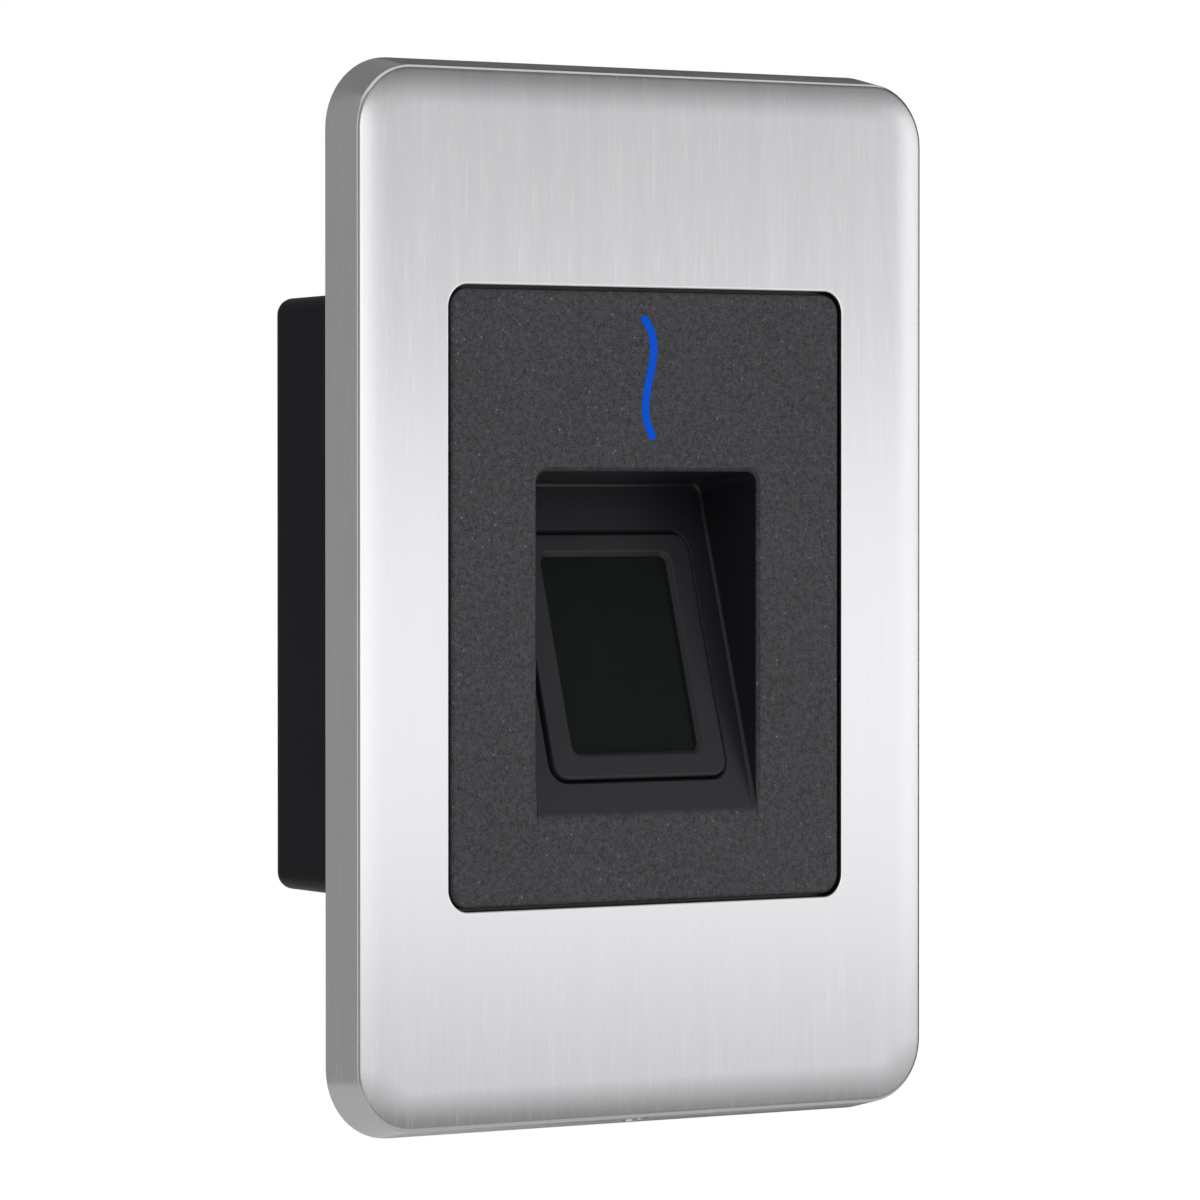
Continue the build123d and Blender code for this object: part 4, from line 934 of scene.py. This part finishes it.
class TERMINAL_OT_screws(bpy.types.Operator):
    """Builds the cross-head screws in place of their plain solids"""

    bl_idname = "terminal.screws"
    bl_label = "Screws"

    def execute(self, context):
        screws = context.scene.terminal_screws
        towards_wall, towards_user = -math.pi / 2, math.pi / 2
        for node, turn in (
            ("housing_screws", towards_wall),
            ("status_screws", towards_wall),
            ("board_screws", towards_user),
        ):
            head_height = SCREW_KINDS[node][1] * MM
            places = []
            for low, high in islands(node):
                seat = high.y - head_height if turn == towards_wall else low.y + head_height
                places.append(((low.x + high.x) / 2, seat, (low.z + high.z) / 2))
            length = high.y - low.y - head_height
            screw_set(node, places, (turn, 0.0, 0.0), length, screws)

        lean = Matrix.Rotation(towards_wall - context.scene.terminal_bezel.tilt, 4, "X")
        axis = lean @ Vector((0.0, 0.0, 1.0))
        head_height = SCREW_KINDS["sensor_screws"][1] * MM
        from_middle = axis * ((SENSOR_SCREW_LENGTH - head_height) / 2)
        places = [(low + high) / 2 + from_middle for low, high in islands("sensor_screws")]
        screw_set("sensor_screws", places, lean.to_euler(), SENSOR_SCREW_LENGTH, screws)
        return {"FINISHED"}


SLOT_FINISHES = {"brushed_plate": "brushed_steel"}  # slots whose finish has another name


class TERMINAL_OT_finishes(bpy.types.Operator):
    """Makes every finish and gives it to the solids that keep their shape"""

    bl_idname = "terminal.finishes"
    bl_label = "Finishes"

    def execute(self, context):
        scene = context.scene
        FINISHES.update({
            "brushed_steel": brushed_steel(scene.terminal_tray),
            "zinc_sheet": plated_sheet(),
            "panel_plastic": panel_plastic(scene.terminal_panel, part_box("face_plate")[0].y),
            "window_glass": window_glass(),
            "clear_glass": clear_plastic("clear_glass", (0.90, 0.95, 0.97)),
            "light_blue": lit_plastic(scene.terminal_light),
            "board_green": board_green(),
        })
        FINISHES.update((name, satin_plastic(name, **values)) for name, values in PLASTICS.items())
        FINISHES.update((name, plain_metal(name, **values)) for name, values in METALS.items())
        for node in nodes.values():
            for index, material in enumerate(node.data.materials):
                name = material.name.split(".")[0]
                node.data.materials[index] = FINISHES[SLOT_FINISHES.get(name, name)]
        return {"FINISHED"}


# --- stage --------------------------------------------------------------------------------------
TARGET = Vector((-0.0020, 0.00155, -0.0005))  # where the camera looks
BOARD_DISTANCE = 0.5  # from the terminal to each studio board
FLOOR_SIZE = 2.4  # side of the square floor


def aim(place, target):
    """Rotation that points a camera or a lamp at a target."""
    return (Vector(target) - Vector(place)).to_track_quat("-Z", "Y").to_euler()


def soft_box(name, place, target, width, height, level):
    """A rectangular lamp whose face shows at a level of brightness."""
    data = bpy.data.lights.new(name, "AREA")
    data.shape = "RECTANGLE"
    data.size = width
    data.size_y = height
    data.energy = level * math.pi * width * height
    lamp = bpy.data.objects.new(name, data)
    lamp.location = place
    lamp.rotation_euler = aim(place, target)
    bpy.context.scene.collection.objects.link(lamp)


def direction(turn, rise):
    """Unit vector from the terminal, turned from straight ahead towards its right, then up."""
    return Vector((math.sin(turn) * math.cos(rise), -math.cos(turn) * math.cos(rise), math.sin(rise)))


def board(name, turn, rise, width, height, level, far=None):
    """A studio board that shows only in gloss, placed by degrees; far is its level off the horizon."""
    towards = direction(math.radians(turn), math.radians(rise))
    side = towards.cross(Vector((0.0, 0.0, 1.0))).normalized() * (width / 2)
    up = side.cross(towards).normalized() * (height / 2)
    middle = towards * BOARD_DISTANCE
    corners = [middle - side - up, middle + side - up, middle + side + up, middle - side + up]
    mesh = bpy.data.meshes.new(name)
    mesh.from_pydata(corners, [], [(0, 1, 2, 3)])
    made = new_object(name, mesh)
    paint = Finish(name)
    start = (abs(middle.z) - up.z) / MM
    climb = paint.axis("Z").math("ABSOLUTE").ramp(start, start + up.z / MM)
    far = level if far is None else far
    paint.vary(Emission_Color=paint.mix(climb, (level, level, level), (far, far, far)))
    paint.constant(Base_Color=(0.0, 0.0, 0.0), Specular_IOR_Level=0.0, Emission_Strength=1.0)
    dress(made, paint.material)
    made.visible_camera = False
    made.visible_diffuse = False
    made.visible_transmission = False
    made.visible_shadow = False


def studio_world(level):
    """White where it is seen or mirrored, and an even soft light on everything else."""
    world = bpy.data.worlds.new("studio")
    world.use_nodes = True
    tree = world.node_tree
    tree.nodes.clear()
    path = tree.nodes.new("ShaderNodeLightPath")
    shown = path.outputs["Is Camera Ray"]
    for ray in ("Is Glossy Ray", "Is Transmission Ray"):
        either = tree.nodes.new("ShaderNodeMath")
        either.operation = "MAXIMUM"
        tree.links.new(shown, either.inputs[0])
        tree.links.new(path.outputs[ray], either.inputs[1])
        shown = either.outputs[0]
    strength = tree.nodes.new("ShaderNodeMapRange")
    strength.inputs["To Min"].default_value = level
    tree.links.new(shown, strength.inputs["Value"])
    back = tree.nodes.new("ShaderNodeBackground")
    back.inputs["Color"].default_value = (1.0, 1.0, 1.0, 1.0)
    tree.links.new(strength.outputs["Result"], back.inputs["Strength"])
    end = tree.nodes.new("ShaderNodeOutputWorld")
    tree.links.new(back.outputs[0], end.inputs["Surface"])
    bpy.context.scene.world = world


def studio_camera(stage):
    """The camera, looking at its target from the stage's angles."""
    data = bpy.data.cameras.new("camera")
    data.lens = stage.lens
    data.sensor_width = 36.0
    data.clip_start = 0.01
    camera = bpy.data.objects.new("camera", data)
    camera.location = TARGET + direction(stage.azimuth, stage.elevation) * stage.distance
    camera.rotation_euler = aim(camera.location, TARGET)
    bpy.context.scene.collection.objects.link(camera)
    bpy.context.scene.camera = camera


def studio_lamps(across):
    """Two lamps; across is the angle at which the front mirrors the camera's view."""
    middle = (0.0, 0.0, 0.0)
    panel_lamp = direction(across, math.radians(-2.7)) * 0.55
    soft_box("front_panel_lamp", panel_lamp, middle, width=0.50, height=0.11, level=0.64)
    soft_box("key_lamp", (-0.05, -0.9, 0.55), middle, width=0.5, height=0.4, level=1.2)


def studio_boards(across):
    """Boards that the steel mirrors, by degrees; two of them stand across from the camera."""
    board("front_strip", turn=10.0, rise=3.0, width=0.15, height=0.22, level=2.0)
    board("right_strip", turn=53.0, rise=3.0, width=0.10, height=0.22, level=1.9)
    board("upper_board", turn=across, rise=28.0, width=1.1, height=0.32, level=0.85, far=0.18)
    board("lower_board", turn=across, rise=-29.5, width=1.1, height=0.32, level=0.95, far=0.18)
    board("crease_board", turn=-34.0, rise=0.0, width=0.45, height=0.9, level=0.35)
    board("right_board", turn=92.0, rise=0.0, width=0.56, height=0.9, level=0.0)
    board("rear_right_board", turn=138.0, rise=0.0, width=0.30, height=0.9, level=0.12)
    board("rear_board", turn=188.0, rise=30.0, width=0.72, height=1.2, level=0.30)
    board("left_board", turn=-121.5, rise=0.0, width=0.8, height=0.9, level=0.45)


def studio_floor(stage):
    """A pale square floor under the terminal."""
    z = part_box("face_plate")[0].z - stage.floor_drop
    half = FLOOR_SIZE / 2
    mesh = bpy.data.meshes.new("floor")
    corners = [(x * half, y * half, z) for x, y in ((-1, -1), (1, -1), (1, 1), (-1, 1))]
    mesh.from_pydata(corners, [], [(0, 1, 2, 3)])
    floor = new_object("floor", mesh)
    paint = Finish("floor_paint")
    cloud = paint.noise(paint.scaled(0.004))
    paint.vary(Base_Color=paint.mix(cloud, (0.86, 0.86, 0.86), (0.90, 0.90, 0.90)))
    paint.constant(Roughness=0.9)
    dress(floor, paint.material)


class TERMINAL_OT_stage(bpy.types.Operator):
    """Sets the camera, the pale floor and the soft studio light"""

    bl_idname = "terminal.stage"
    bl_label = "Stage"

    def execute(self, context):
        stage = context.scene.terminal_stage
        context.scene.view_settings.view_transform = "Standard"
        studio_camera(stage)
        studio_world(stage.light)
        studio_lamps(-stage.azimuth)
        studio_boards(-math.degrees(stage.azimuth))
        studio_floor(stage)
        return {"FINISHED"}


class TERMINAL_PT_looks(bpy.types.Panel):
    """Lists the terminal's sizes and the operators that build it"""

    bl_idname = "TERMINAL_PT_looks"
    bl_label = "Fingerprint terminal"
    bl_space_type = "VIEW_3D"
    bl_region_type = "UI"
    bl_category = "Terminal"

    def draw(self, context):
        for group, kind in GROUPS.items():
            box = self.layout.box()
            box.label(text=kind.__doc__)
            settings = getattr(context.scene, group)
            for name in kind.__annotations__:
                box.prop(settings, name)
        for operator in OPERATORS:
            self.layout.operator(operator.bl_idname)


OPERATORS = (
    TERMINAL_OT_finishes,
    TERMINAL_OT_tray,
    TERMINAL_OT_bezel,
    TERMINAL_OT_screws,
    TERMINAL_OT_stage,
)


def register():
    """Registers the groups, operators and panel."""
    for group, kind in GROUPS.items():
        bpy.utils.register_class(kind)
        setattr(bpy.types.Scene, group, PointerProperty(type=kind))
    for operator in OPERATORS:
        bpy.utils.register_class(operator)
    bpy.utils.register_class(TERMINAL_PT_looks)


def unregister():
    """Takes them away again."""
    bpy.utils.unregister_class(TERMINAL_PT_looks)
    for operator in reversed(OPERATORS):
        bpy.utils.unregister_class(operator)
    for group, kind in GROUPS.items():
        delattr(bpy.types.Scene, group)
        bpy.utils.unregister_class(kind)


def main():
    """Builds everything in order."""
    register()
    bpy.ops.terminal.finishes()
    bpy.ops.terminal.tray()
    bpy.ops.terminal.bezel()
    bpy.ops.terminal.screws()
    bpy.ops.terminal.stage()


if __name__ == "__main__":
    main()
